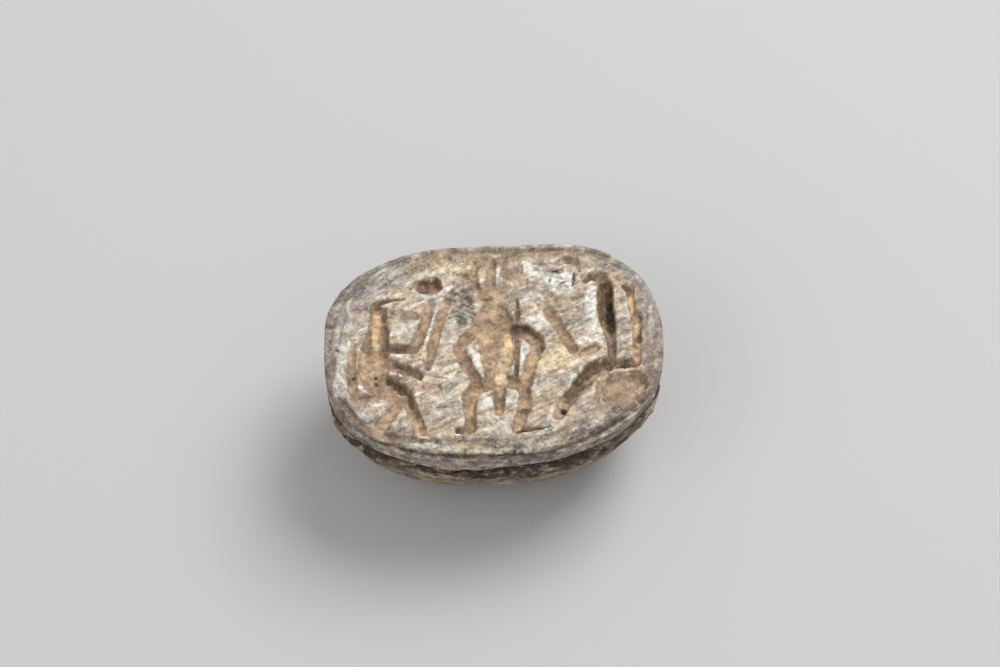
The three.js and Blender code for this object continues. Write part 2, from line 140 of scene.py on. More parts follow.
# --- Outline ------------------------------------------------------------------------------------
def raw_outline(turns):
    """The leaning oval, before it is fitted to the seal's length and width."""
    power = np.where(np.sin(turns) > 0, FAR_POWER, NEAR_POWER)
    cosine = np.abs(np.cos(turns)) / (LENGTH / 2)
    sine = np.abs(np.sin(turns)) / (WIDTH / 2)
    oval = (cosine ** power + sine ** power) ** (-1 / power)
    swell = SHOULDER_SWELL * np.exp(-(((turns - SHOULDER_TURN) / SHOULDER_SPREAD) ** 2))
    reach = oval * (1 + OUTLINE_CORNERS * np.sin(4 * turns)) + swell
    return reach[:, None] * np.stack([np.cos(turns + OUTLINE_LEAN), np.sin(turns + OUTLINE_LEAN)], axis=1)


def fitted_outline():
    """Points round the seal, fitted to its exact length and width and centred."""
    points = raw_outline(np.linspace(0, 2 * math.pi, OUTLINE_STEPS, endpoint=False))
    low, high = points.min(axis=0), points.max(axis=0)
    return (points - (low + high) / 2) * (np.array([LENGTH, WIDTH]) / (high - low))


OUTLINE = fitted_outline()
OUTLINE_ANGLES = np.unwrap(np.arctan2(OUTLINE[:, 1], OUTLINE[:, 0]))
OUTLINE_REACH = np.hypot(OUTLINE[:, 0], OUTLINE[:, 1])
STEP_LENGTHS = np.hypot(*(np.roll(OUTLINE, -1, axis=0) - OUTLINE).T)
OUTLINE_ARC = np.concatenate([[0], np.cumsum(STEP_LENGTHS)[:-1]])
PERIMETER = STEP_LENGTHS.sum()


def reach_at(angles):
    """Distance from the middle to the outline in each direction."""
    return np.interp(angles, OUTLINE_ANGLES, OUTLINE_REACH, period=2 * math.pi)


def arc_at(angles):
    """Distance along the outline to each direction."""
    start = OUTLINE_ANGLES[0]
    return np.interp((angles - start) % (2 * math.pi) + start, OUTLINE_ANGLES, OUTLINE_ARC)


def short_way(gap, whole):
    """The same gap, measured the short way round a ring of the given length."""
    return (gap + whole / 2) % whole - whole / 2


# --- Fields -------------------------------------------------------------------------------------
GRAIN_DEGREES = 28
GRAIN_TURN = np.array(Matrix.Rotation(math.radians(-GRAIN_DEGREES), 3, "Z"))


def smoothstep(low, high, values):
    """0 up to low, 1 from high, and smooth between."""
    share = np.clip((values - low) / (high - low), 0, 1)
    return share * share * (3 - 2 * share)


def hashed(cells, seed):
    """One random value from 0 to 1 for each whole-numbered cell."""
    mixed = cells @ np.array([73856093, 19349663, 83492791]) + seed * 40503
    mixed = (mixed ^ (mixed >> 15)) * 2246822519 & 0xFFFFFFFF
    mixed = (mixed ^ (mixed >> 13)) * 3266489917 & 0xFFFFFFFF
    return ((mixed ^ (mixed >> 16)) & 0xFFFFFF) / 0xFFFFFF


def lumps(points, size, seed):
    """Smooth random values from -1 to 1, in lumps of the given size."""
    scaled = points / size
    cells = np.floor(scaled).astype(np.int64)
    part = scaled - cells
    ease = part * part * (3 - 2 * part)
    total = np.zeros(len(points))
    for corner in np.ndindex(2, 2, 2):
        weight = np.prod(np.where(corner, ease, 1 - ease), axis=1)
        total += weight * hashed(cells + np.array(corner), seed)
    return total * 2 - 1


def rough(points, size, seed, octaves=3):
    """Lumps upon finer lumps, from -1 to 1."""
    total = np.zeros(len(points))
    for octave in range(octaves):
        total += lumps(points, size / 2 ** octave, seed + octave) / 2 ** octave
    return total / (2 - 0.5 ** (octaves - 1))


def veined(points, size, seed):
    """Streaks that run up to the right over the stone, from -1 to 1."""
    return rough(points @ GRAIN_TURN.T * np.array([0.28, 1, 1]), size, seed)


def pits(points, spacing, seed, share):
    """Distance to the nearest of some scattered spots, in spacings. Only a share of the cells has one."""
    scaled = points / spacing
    cells = np.floor(scaled).astype(np.int64)
    nearest = np.full(len(points), FAR_AWAY)
    for step in np.ndindex(3, 3, 3):
        cell = cells + np.array(step) - 1
        spot = cell + np.stack([hashed(cell, seed + k) for k in range(3)], axis=1)
        distance = np.linalg.norm(scaled - spot, axis=1)
        distance[hashed(cell, seed + 7) > share] = FAR_AWAY
        nearest = np.minimum(nearest, distance)
    return nearest


# --- The picture --------------------------------------------------------------------------------
# Places on the face are in millimetres from the picture's own middle.
SKIRT = 0.13  # share of a stroke's depth that its worn edges spread over
SKIRT_WIDTH = 0.1


def stroke(width, depth, *joints):
    """A sunk stroke. Each joint is (x, y), and may add its own width and share of the depth."""
    defaults = (0, 0, width, 1)
    return np.array([(*joint, *defaults[len(joint):]) for joint in joints]), depth


def middle_figure():
    """A frontal figure with a feather crown, hands on bowed thighs and a hanging tail."""
    crown = [
        stroke(2.4, 0.07, (0.2, 5.3), (0.2, 3.8)),
        stroke(0.36, 0.17, (-1.08, 5.4, 0.3, 0.6), (-1.06, 4.7), (-0.98, 4.2), (-0.72, 3.8, 0.3)),
        stroke(0.42, 0.17, (-0.2, 5.8, 0.34, 0.6), (-0.2, 4.9), (-0.15, 4.1)),
        stroke(0.16, 0.16, (0.0, 5.6, 0.1), (0.03, 4.6), (0.08, 3.95)),
        stroke(0.38, 0.16, (0.55, 5.8, 0.3, 0.6), (0.56, 5.2), (0.58, 4.5)),
        stroke(0.26, 0.12, (1.2, 5.95), (1.2, 5.2)),
        stroke(0.12, 0.16, (1.46, 5.3), (1.47, 4.8)),
        stroke(0.1, 0.12, (1.75, 4.3), (1.75, 3.8)),
        stroke(0.3, 0.17, (-2.5, 4.85, 0.15, 0.5), (-1.75, 4.72), (-1.3, 4.4), (-0.9, 4.0)),
        stroke(1.9, 0.15, (-0.05, 3.6), (0.0, 2.9)),
        stroke(0.16, 0.26, (-0.7, 3.17), (-0.2, 3.25)),
        stroke(0.34, 0.2, (1.22, 3.1, 0.16), (1.26, 2.6), (1.24, 1.9)),
    ]
    trunk = [
        stroke(2.0, 0.36, (-0.02, 2.33, 1.7, 0.7), (0.03, 1.5), (0.1, 0.3), (0.15, -0.8, 1.65),
               (0.08, -1.9, 1.2)),
        stroke(1.1, 0.25, (-0.5, 2.0), (-0.9, 1.4, 0.9)),
        stroke(0.4, 0.26, (0.4, 2.8, 0.2, 0.5), (0.75, 2.1), (1.05, 1.5)),
        stroke(0.36, 0.3, (1.2, 1.5, 0.3, 0.5), (1.22, 0.6), (1.22, -0.4), (1.18, -1.6, 0.24, 0.8)),
    ]
    limbs = [
        stroke(0.72, 0.29, (-0.8, 1.45), (-1.5, 0.75), (-1.84, 0.15), (-1.55, -0.65), (-0.95, -1.8, 0.6)),
        stroke(0.9, 0.42, (1.2, 1.25), (1.75, 1.12), (2.25, 0.62), (2.35, 0.2, 0.75, 0.9)),
        stroke(0.72, 0.34, (2.35, 0.2), (1.98, -0.6), (1.8, -1.3), (1.75, -2.0)),
        stroke(0.85, 0.33, (-0.2, -2.1), (-0.95, -2.4), (-1.3, -2.85), (-1.27, -3.5, 0.75),
               (-1.22, -4.3, 0.72), (-1.25, -4.85, 0.66)),
        stroke(0.44, 0.36, (-1.35, -5.0), (-1.85, -4.93)),
        stroke(0.8, 0.3, (0.6, -1.9), (1.5, -2.1), (1.65, -2.7, 0.72), (1.62, -3.5), (1.4, -4.1, 0.66),
               (1.25, -4.9, 0.62)),
        stroke(0.32, 0.3, (1.2, -5.0), (1.7, -4.92), (2.2, -4.82, 0.22), (2.95, -4.7, 0.16)),
        stroke(0.7, 0.24, (0.28, -2.2), (0.3, -3.1), (0.28, -3.8, 0.64)),
    ]
    return crown + trunk + limbs


def left_ape():
    """It faces right, with a raised tail, one arm up and two sticks held towards the middle."""
    return [
        stroke(0.44, 0.34, (-6.5, 2.4, 0.36), (-6.36, 2.7), (-6.1, 2.92), (-5.7, 3.06, 0.36),
               (-5.2, 3.14, 0.22, 0.6), (-4.8, 3.13, 0.14, 0.4)),
        stroke(1.1, 0.36, (-6.16, 2.45, 0.75), (-6.15, 1.6, 1.0), (-6.2, 0.7, 1.3), (-6.3, 0.0, 1.6),
               (-6.38, -1.2, 1.75), (-6.3, -2.1, 1.35)),
        stroke(0.5, 0.32, (-5.9, 2.4), (-5.85, 1.9, 0.36, 0.7), (-5.8, 1.1), (-5.78, 0.0)),
        stroke(0.55, 0.16, (-5.7, 2.15), (-4.2, 2.1)),
        stroke(0.66, 0.36, (-5.6, 0.12), (-4.9, 0.08), (-4.3, 0.05)),
        stroke(0.6, 0.27, (-4.15, 0.3), (-3.72, 1.5), (-3.42, 2.8, 0.6, 0.5)),
        stroke(0.56, 0.25, (-3.52, -1.1, 0.5, 0.7), (-3.3, 0.0), (-3.05, 1.2), (-2.55, 2.95, 0.56, 0.6)),
        stroke(0.7, 0.37, (-5.6, -0.85), (-4.8, -1.17), (-4.2, -1.42, 0.62), (-3.92, -1.65, 0.45)),
        stroke(0.9, 0.2, (-6.2, -2.3), (-5.4, -2.75), (-4.95, -3.1)),
        stroke(0.85, 0.47, (-5.5, -2.05), (-4.85, -2.55), (-4.5, -3.1, 0.8), (-4.2, -4.0, 0.72, 0.8),
               (-3.82, -5.0, 0.68, 0.7)),
        stroke(0.72, 0.27, (-4.95, -3.25), (-5.5, -4.1), (-6.1, -5.1, 0.72, 0.6)),
        stroke(0.58, 0.22, (-7.5, 0.5, 0.3, 0.5), (-7.52, -0.3), (-7.48, -1.6), (-7.45, -2.6), (-7.3, -3.05)),
        stroke(0.45, 0.26, (-7.3, -3.1), (-6.6, -3.0), (-5.8, -2.85)),
        stroke(0.24, 0.12, (-7.9, -1.1), (-7.86, -1.3)),
        stroke(0.2, 0.34, (-7.43, -1.72), (-7.43, -1.78)),
        stroke(0.2, 0.5, (-6.27, -1.6), (-6.23, -1.64)),
        stroke(0.22, 0.5, (-6.23, -1.98), (-6.2, -2.03)),
    ]


def right_ape():
    """It faces left, with a deep upright body, a knobbed tail behind it and one stick in front."""
    return [
        stroke(0.55, 0.25, (4.85, 4.3, 0.3), (5.2, 4.62), (5.75, 4.6, 0.7), (5.95, 4.2, 0.8)),
        stroke(0.95, 0.46, (5.93, 4.0, 0.75), (5.87, 3.3, 0.88), (5.93, 2.6, 1.0), (6.02, 1.9),
               (6.15, 1.2, 0.68), (6.22, 0.5, 0.52), (6.27, -0.5, 0.46)),
        stroke(0.56, 0.62, (6.08, 3.7), (6.12, 2.9), (6.18, 2.2), (6.25, 1.4, 0.36), (6.3, 0.2, 0.24, 0.7)),
        stroke(0.44, 0.32, (6.95, 3.95, 0.3), (7.25, 3.75), (7.32, 3.1), (7.4, 2.5), (7.58, 2.05, 0.66),
               (7.57, 1.5, 0.5), (7.58, 0.8, 0.54), (7.58, -0.5)),
        stroke(0.22, 0.3, (7.8, 2.1), (7.82, 1.92)),
        stroke(0.24, 0.3, (7.74, 0.95), (7.73, 0.65)),
        stroke(0.55, 0.47, (6.2, -0.75), (6.9, -0.88), (7.55, -0.72)),
        stroke(0.66, 0.25, (2.72, 2.9, 0.6, 0.5), (3.05, 2.1), (3.6, 1.15), (4.2, 0.05)),
        stroke(0.5, 0.14, (3.05, 3.4), (3.3, 3.0), (3.6, 2.4, 0.2)),
        stroke(0.45, 0.21, (4.6, -0.25), (5.45, 0.15)),
        stroke(1.0, 0.47, (5.85, -0.95), (5.2, -1.25), (4.75, -1.9), (4.4, -2.4, 0.85), (3.8, -3.1, 0.8, 0.6),
               (3.4, -4.05, 0.66, 0.5)),
        stroke(0.28, 0.6, (3.66, -3.66), (3.67, -3.8)),
        stroke(0.3, 0.15, (5.45, -2.0, 0.2), (5.4, -3.1)),
        stroke(0.3, 0.17, (5.8, -2.2, 0.2), (5.84, -3.05)),
        stroke(0.42, 0.15, (3.3, 5.4, 0.2, 0.5), (3.9, 5.6), (4.2, 5.62), (4.44, 5.4), (4.58, 5.0, 0.24)),
    ]


def figures():
    """The whole picture's strokes."""
    return middle_figure() + left_ape() + right_ape()


def crater():
    """A round hollow at the upper right, made as a very short stroke."""
    return [stroke(1.4, 0.25, (3.69, 4.35), (3.71, 4.37))]


def border_lines():
    """A shallow line inside the edge, left where it hasn't worn away."""
    return [
        stroke(0.4, 0.17, (-7.85, -3.4), (-7.4, -4.2), (-6.9, -4.8), (-6.2, -5.15), (-5.4, -5.4),
               (-3.9, -5.6)),
        stroke(0.24, 0.08, (-3.8, -5.62), (-2.0, -5.65), (1.0, -5.6), (2.8, -5.3), (3.7, -4.97), (4.6, -4.5)),
        stroke(0.2, 0.1, (-2.6, 6.05, 0.16, 0.5), (0.8, 6.26), (3.5, 6.3), (5.2, 6.12),
               (6.3, 5.75, 0.2, 0.5)),
    ]


def rolls():
    """Low rolls left standing inside the sunk figures, given in the same way as strokes."""
    return [
        stroke(0.7, 0.13, (0.7, 0.8, 0.4), (0.6, -0.4), (0.25, -1.75)),
        stroke(0.42, 0.1, (-6.4, 2.2, 0.25), (-6.35, 0.9), (-6.25, 0.2)),
        stroke(0.14, 0.22, (-7.24, 0.2), (-7.2, -1.75)),
        stroke(0.24, 0.3, (-7.08, -2.15), (-6.85, -2.45), (-6.4, -2.68)),
        stroke(0.3, 0.14, (7.3, 3.3), (7.34, 2.5)),
        stroke(0.36, 0.14, (5.65, 3.9), (5.62, 2.6), (5.75, 1.8)),
    ]


def cut_by(strokes, points, wobble, crispness):
    """Depth of the strokes at each place, and the distance to the nearest edge, below zero inside."""
    x, y = points[:, 0], points[:, 1] - PICTURE_MIDDLE_Y
    depth = np.zeros(len(points))
    edge = np.full(len(points), FAR_AWAY)
    for joints, full_depth in strokes:
        gap = np.full(len(points), FAR_AWAY)
        half = np.ones(len(points))
        deep = np.ones(len(points))
        for (x0, y0, w0, d0), (x1, y1, w1, d1) in zip(joints, joints[1:]):
            dx, dy = x1 - x0, y1 - y0
            share = np.clip(((x - x0) * dx + (y - y0) * dy) / (dx * dx + dy * dy), 0, 1)
            here = (w0 + (w1 - w0) * share) / 2
            distance = np.hypot(x - x0 - share * dx, y - y0 - share * dy) - here
            closer = distance < gap
            gap = np.where(closer, distance, gap)
            half = np.where(closer, here, half)
            deep = np.where(closer, d0 + (d1 - d0) * share, deep)
        gap = gap + wobble * np.minimum(1, half / 0.25)
        across = np.clip(1 + gap / half, 0, 1)
        inside = np.sqrt(1 - across ** crispness)
        skirt = np.exp(-np.clip(gap, 0, None) / SKIRT_WIDTH)
        depth = np.maximum(depth, full_depth * deep * ((1 - SKIRT) * inside + SKIRT * skirt))
        edge = np.minimum(edge, gap)
    return depth, edge


def from_patch(points, x, y, half_length, half_width, turn):
    """Distance from the middle of an oval patch: 1 at its rim."""
    dx = points[:, 0] - x
    dy = points[:, 1] - PICTURE_MIDDLE_Y - y
    cosine, sine = math.cos(math.radians(turn)), math.sin(math.radians(turn))
    return np.hypot((dx * cosine + dy * sine) / half_length, (dy * cosine - dx * sine) / half_width)


# Losses on the face that no tool made: two scoops, chips along the rim and thin cracks.
CHIPS = (
    # x, y, half length, half width, depth, turn, sharpness
    (-3.5, 4.0, 0.78, 0.52, 0.42, 8, 2.5),
    (3.72, 4.32, 0.26, 0.12, 0.34, 30, 2),
    (6.85, -2.35, 1.4, 1.0, 0.42, 28, 4),
    (-3.3, -2.4, 0.62, 0.3, 0.12, 0, 2),
    (2.45, 4.75, 0.95, 0.28, 0.14, -35, 2),
    (1.95, 2.65, 0.5, 0.4, 0.12, 0, 2),
    (2.5, 5.38, 0.8, 0.07, 0.08, 2, 2),
    (-2.8, -1.75, 0.5, 0.06, 0.08, -15, 2),
    (-2.3, -2.45, 0.42, 0.06, 0.08, 72, 2),
    (-2.7, -0.85, 0.55, 0.05, 0.08, 22, 2),
    (7.3, -3.4, 1.0, 0.35, 0.2, 35, 2),
    (5.85, 5.25, 0.3, 0.25, 0.1, 0, 2),
    (1.1, -6.2, 0.12, 0.35, 0.18, 0, 2),
)


def chips(points):
    """Depth of the chips, scoops and cracks on the face."""
    ragged = 0.25 * rough(points, 0.35, 41)
    deepest = np.zeros(len(points))
    for x, y, half_length, half_width, depth, turn, sharpness in CHIPS:
        distance = np.clip(from_patch(points, x, y, half_length, half_width, turn) + ragged, 0, 1)
        deepest = np.maximum(deepest, depth * np.sqrt(1 - distance ** sharpness))
    return deepest


# --- Mesh helpers -------------------------------------------------------------------------------
def select_only(*objects):
    """Selects these objects alone, and makes the first one active."""
    if bpy.context.object and bpy.context.object.mode != "OBJECT":
        bpy.ops.object.mode_set(mode="OBJECT")
    bpy.ops.object.select_all(action="DESELECT")
    for item in objects:
        item.select_set(True)
    bpy.context.view_layer.objects.active = objects[0]


def places(mesh):
    """The place of each vertex."""
    found = np.empty(len(mesh.vertices) * 3)
    mesh.vertices.foreach_get("co", found)
    return found.reshape(-1, 3)


def normals(mesh):
    """The outward direction at each vertex."""
    found = np.empty(len(mesh.vertices) * 3, np.float32)
    mesh.vertex_normals.foreach_get("vector", found)
    return found.reshape(-1, 3)


def set_places(mesh, points):
    mesh.vertices.foreach_set("co", np.ascontiguousarray(points).ravel())
    mesh.update()


def apply_modifier(piece, kind, **settings):
    """Adds one modifier with these settings and applies it."""
    select_only(piece)
    bpy.ops.object.modifier_add(type=kind)
    modifier = piece.modifiers[-1]
    for key, value in settings.items():
        setattr(modifier, key, value)
    bpy.ops.object.modifier_apply(modifier=modifier.name)


def sizes_mm():
    """The sidebar's sizes as plain millimetres."""
    group = bpy.context.scene.seal_sizes
    return {name: getattr(group, name) / MM for name in SealSizes.__annotations__ if name != "most_triangles"}


# --- The blank ----------------------------------------------------------------------------------
BLANK_SIDES = 240
BACK_RINGS = 14
BORE_SIDES = 48
BORE_MOUTH = 2  # length of each flared cutter, which stands half outside the stone


def side_levels(size):
    """The side from the face down: depth below the face, inset and scale of each ring."""
    wear = size["edge_wear"]
    levels = [
        (0, wear, 1),
        (wear, 0, 1),
        (size["plate_depth"] - wear, 0, 1),
        (size["plate_depth"], wear, 1),
        (size["plate_depth"] + wear, size["recess_inset"], 1),
        (size["recess_depth"], size["recess_inset"] + wear, 1),
        (size["ledge_depth"], wear, 1),
        (size["margin_depth"] - wear, wear / 2, 1),
        (size["margin_depth"], size["back_inset"], 1),
    ]
    drop = HEIGHT + size["back_worn_off"] - size["margin_depth"]
    flat_angle = math.asin((HEIGHT - size["margin_depth"]) / drop)
    for i in range(1, BACK_RINGS + 1):
        angle = flat_angle * i / BACK_RINGS
        levels.append((size["margin_depth"] + drop * math.sin(angle), size["back_inset"], math.cos(angle)))
    return levels


def turned_blank(levels):
    """A turned rod with one ring for each level, drawn out to the seal's outline and side."""
    bpy.ops.mesh.primitive_circle_add(vertices=BLANK_SIDES, radius=1, fill_type="NGON")
    blank = bpy.context.object
    bpy.ops.object.mode_set(mode="EDIT")
    bpy.ops.mesh.select_all(action="SELECT")
    for _ in levels[1:]:
        bpy.ops.mesh.extrude_region_move(TRANSFORM_OT_translate={"value": (0, 0, -1)})
    bpy.ops.mesh.select_all(action="SELECT")
    bpy.ops.mesh.normals_make_consistent(inside=False)
    bpy.ops.object.mode_set(mode="OBJECT")
    rod = places(blank.data)
    depth, inset, scale = np.array(levels)[np.round(-rod[:, 2]).astype(int)].T
    angles = np.arctan2(rod[:, 1], rod[:, 0])
    reach = (reach_at(angles) - inset) * scale
    shaped = np.stack([reach * np.cos(angles), reach * np.sin(angles), HEIGHT - depth], axis=1)
    set_places(blank.data, shaped)
    return blank


def cut_away(piece, *tools):
    """Takes the tools' shapes out of the piece."""
    for tool in tools:
        apply_modifier(piece, "BOOLEAN", operation="DIFFERENCE", object=tool, solver="EXACT")
        select_only(tool)
        bpy.ops.object.delete()


def bore_tools(size):
    """The string bore, and its two mouths, worn a little wider."""
    radius, flare = size["bore_radius"], size["bore_flare"]
    height = HEIGHT - size["bore_depth"]
    turn = (0, math.pi / 2, 0)
    bpy.ops.mesh.primitive_cylinder_add(
        vertices=BORE_SIDES, radius=radius, depth=LENGTH + BORE_MOUTH, location=(0, 0, height), rotation=turn)
    tools = [bpy.context.object]
    for end in (-1, 1):
        bpy.ops.mesh.primitive_cone_add(
            vertices=BORE_SIDES, radius1=radius - end * flare, radius2=radius + end * flare, depth=BORE_MOUTH,
            location=(end * LENGTH / 2, 0, height), rotation=turn)
        tools.append(bpy.context.object)
    return tools


def flake_tool():
    """A slanting block in the place of the flake that has broken off."""
    bpy.ops.mesh.primitive_cube_add(size=1)
    tool = bpy.context.object
    length, width, height = FLAKE_SIZE
    place = (Matrix.Translation((FLAKE_X, FLAKE_Y, HEIGHT)) @ Matrix.Rotation(FLAKE_TURN, 4, "Z")
             @ Matrix.Rotation(FLAKE_SLOPE, 4, "X") @ Matrix.Translation((0, -width / 2, height / 2))
             @ Matrix.Diagonal((length, width, height, 1)))
    tool.data.transform(place)
    return tool


# --- Carving the dense stone --------------------------------------------------------------------
ALONG_LAYERS = np.array([0.4, 0.4, 1])  # stretches a field along the stone's flat layers
FINE_PITS = (0.45, 71, 0.35)  # spacing, seed and share of the cells that have one


def around(points):
    """For each point: direction, reach of the outline there, inset from it, and place along it."""
    angles = np.arctan2(points[:, 1], points[:, 0])
    reach = reach_at(angles)
    return angles, reach, reach - np.hypot(points[:, 0], points[:, 1])


def face_share(points):
    """1 on the engraved face, fading to 0 half-way down the plate's side."""
    return smoothstep(HEIGHT - 0.9, HEIGHT - 0.2, points[:, 2])


def stroke_wobble(points):
    """How far a stroke's edge strays at each place."""
    flat = points * np.array([1, 1, 0])
    return 0.065 * rough(flat, 0.5, 11) + 0.03 * lumps(flat, 0.13, 17)


def carve_face(points):
    """Sinks the picture and the chips, and leaves the low rolls inside them."""
    share = face_share(points)
    flat = points * np.array([1, 1, 0])
    crispness = np.clip(2.4 + 2.4 * rough(flat, 1.3, 19), 1.1, 5)
    cut, edge = cut_by(figures() + border_lines() + crater(), flat, stroke_wobble(flat), crispness)
    roll, _ = cut_by(rolls(), flat, stroke_wobble(flat), 2)
    cut = np.maximum(cut - roll * smoothstep(0.0, -0.08, edge), 0)
    tool_marks = 1 + 0.22 * rough(flat, 0.5, 23) + 0.14 * lumps(flat, 0.16, 27)
    raised = smoothstep(-0.05, 0.15, edge)
    crumpled = 0.06 * raised * (veined(flat, 0.6, 29) + 0.7 * rough(flat, 0.45, 33))
    dimpled = 0.05 * rough(flat, 1.2, 37)
    depth = np.maximum(cut * tool_marks, chips(flat)) + np.clip(0.03 + crumpled + dimpled, 0, None)
    points[:, 2] -= depth * share
    return points


def wear_rim(points):
    """The edge of the face slopes off, most at the far left and along the near side."""
    angles, _, inset = around(points)
    degrees = np.degrees(angles)
    far_left = np.exp(-(((degrees - 148) / 26) ** 2))
    near_side = np.exp(-(((degrees + 95) / 45) ** 2))
    ragged = 1 + 0.5 * rough(points, 1.1, 31)
    shoulder = np.exp(-(((degrees - 114) / 20) ** 2))
    drop = (0.05 * far_left + 0.16 * near_side + 0.06) * ragged
    width = 0.35 + 1.0 * far_left + 0.3 * near_side
    slope = np.clip(1 - inset / width, 0, 1) ** 1.5
    points[:, 2] -= drop * slope * smoothstep(HEIGHT - 1.2, HEIGHT - 0.1, points[:, 2])
    swell = (0.32 * far_left + 0.12 * shoulder) * smoothstep(HEIGHT - 2.3, HEIGHT - 1.5, points[:, 2])
    swell *= 1 - smoothstep(0.2, 1.4, inset)
    points[:, :2] += np.stack([np.cos(angles), np.sin(angles)], axis=1) * swell[:, None]
    return points


def leg_relief(points, size):
    """How far the legs stand out of the recess at each point of the side."""
    angles, _, _ = around(points)
    turn = np.degrees(short_way(angles - OUTLINE_LEAN, 2 * math.pi))
    depth = HEIGHT - points[:, 2]
    arc = arc_at(angles)
    fall = size["ledge_depth"] + 0.1 - size["plate_depth"]
    down = depth - size["plate_depth"]
    relief = np.zeros(len(points))
    for side in (-1, 1):
        for top, low in LEGS:
            start = arc_at(math.radians(side * top) + OUTLINE_LEAN)
            end = arc_at(math.radians(side * low) + OUTLINE_LEAN)
            run = short_way(end - start, PERIMETER)
            along = short_way(arc - start, PERIMETER)
            share = np.clip((along * run + down * fall) / (run * run + fall * fall), 0, 1.6)
            distance = np.hypot(along - share * run, down - share * fall)
            relief = np.maximum(relief, np.sqrt(np.clip(1 - (distance / LEG_RADIUS) ** 2, 0, 1)))
    zone = smoothstep(size["plate_depth"] - 0.05, size["plate_depth"] + 0.2, depth)
    zone *= 1 - smoothstep(size["margin_depth"], size["margin_depth"] + 0.5, depth)
    return relief * zone * (np.abs(turn) < HEAD_DEGREES)


def shape_legs(points, size):
    """Draws the legs out of the recess, nearly to the outline."""
    angles, _, inset = around(points)
    out = (np.clip(inset - 0.12, 0, None) + 0.07) * leg_relief(points, size)
    points[:, 0] += np.cos(angles) * out
    points[:, 1] += np.sin(angles) * out
    return points


def plate_sag(points):
    """How much lower the plate reaches, which is most in the middle of the near side."""
    return 0.5 * np.exp(-(((points[:, 0] + 1.7) / 2.8) ** 2)) * smoothstep(0, -3, points[:, 1])


def thicken_plate(points, size):
    """Draws the lower edge of the plate's side down where it sags."""
    depth = HEIGHT - points[:, 2]
    lower = plate_sag(points)
    edge = smoothstep(size["plate_depth"] - 0.5, size["plate_depth"], depth)
    points[:, 2] -= lower * edge * (1 - smoothstep(size["recess_depth"], size["ledge_depth"] - 0.1, depth))
    return points


def back_line_depth(points, size):
    """Lines on the beetle's back: head, neck, wing cases and the line between them."""
    x, y = points[:, 0], np.abs(points[:, 1])
    wing = np.abs(x - (WING_LINE_X + 0.1 * (y / 3) ** 2))
    seam = np.where(x > WING_LINE_X, y, FAR_AWAY)
    head = np.abs(x - (-6.05 - 0.25 * (y / 2.3) ** 2.2))
    head[y > 4.6] = FAR_AWAY
    cheek = np.abs(y - (1.7 + (-x - 6.35) * 0.316))
    cheek[x > -6.3] = FAR_AWAY
    notch = np.hypot(np.clip(np.abs(x + 2.0) - 0.7, 0, None), y - (4.3 - (x + 2.7) * 0.5))
    nearest = np.minimum.reduce([wing, seam, head, cheek, notch])
    margin = HEIGHT - size["margin_depth"]
    on_back = smoothstep(margin - 0.1, margin - 0.5, points[:, 2])
    worn = smoothstep(0.05, 0.7, points[:, 2]) * (1 - 0.8 * smoothstep(3.4, 4.6, y))
    return 0.2 * np.sqrt(np.clip(1 - (nearest / 0.2) ** 2, 0, 1)) * on_back * worn


def split_side(points):
    """How deep the layers of the stone have opened along the plate's side."""
    angles, _, inset = around(points)
    depth = HEIGHT - points[:, 2]
    on_side = (1 - smoothstep(0.15, 0.4, inset)) * (1 - smoothstep(1.3, 1.5, depth))
    on_side *= smoothstep(0.1, 0.25, depth)
    wave = 0.07 * np.sin(3 * angles + 1) + 0.05 * rough(points * ALONG_LAYERS, 0.9, 161)
    near = smoothstep(0.2, 0.8, -np.sin(angles))
    upper = 0.2 * near * np.exp(-(((depth - 0.42 + wave) / 0.08) ** 2))
    lower = 0.08 * np.exp(-(((depth - 0.95 - wave) / 0.07) ** 2))
    lower *= smoothstep(-0.1, 0.3, rough(points, 2.0, 163))
    return (upper + lower) * on_side


def weather(points, outward, size):
    """The worn skin: slow lumps, grain along the stone's layers, splits and pits."""
    angles, _, inset = around(points)
    depth = HEIGHT - points[:, 2]
    margin = size["margin_depth"]
    side = smoothstep(0.1, 0.4, depth) * (1 - smoothstep(margin, margin + 1, depth))
    rim = 1 - smoothstep(0.5, 1.6, inset)
    change = 0.035 * rough(points, 1.6, 51, 2)
    change += (0.014 + 0.02 * rim) * veined(points, 0.3, 57)
    change += (0.008 + 0.018 * rim) * rough(points, 0.25, 59)
    change += 0.045 * side * rough(points * np.array([0.3, 0.3, 1]), 0.24, 61)
    change -= 0.08 * np.clip(1 - (pits(points, *FINE_PITS) / 0.22) ** 2, 0, 1)
    change -= 0.07 * np.clip(1 - (pits(points, 1.3, 83, 0.3) / 0.2) ** 2, 0, 1)
    change -= split_side(points)
    crumbling = smoothstep(0.1, 0.8, -np.sin(angles)) * (1 - smoothstep(0.7, 1.1, inset))
    crumbling *= 1 - smoothstep(0.5, 0.9, depth)
    change -= 0.1 * crumbling * smoothstep(0.08, 0.22, rough(points, 0.42, 217))
    ledge_lumps = smoothstep(size["plate_depth"], size["recess_depth"], depth) * side
    change += 0.08 * ledge_lumps * rough(points * np.array([0.45, 0.45, 1]), 0.35, 65)
    return points + outward * change[:, None]


def carve_stone(piece, size):
    """Carves the side and the back, then weathers the stone, and sinks the picture last."""
    mesh = piece.data
    points = wear_rim(places(mesh))
    points = thicken_plate(shape_legs(points, size), size)
    set_places(mesh, points)
    outward = normals(mesh)
    points = points - outward * back_line_depth(points, size)[:, None]
    points = weather(points, outward, size)
    points = carve_face(points)
    set_places(mesh, points)


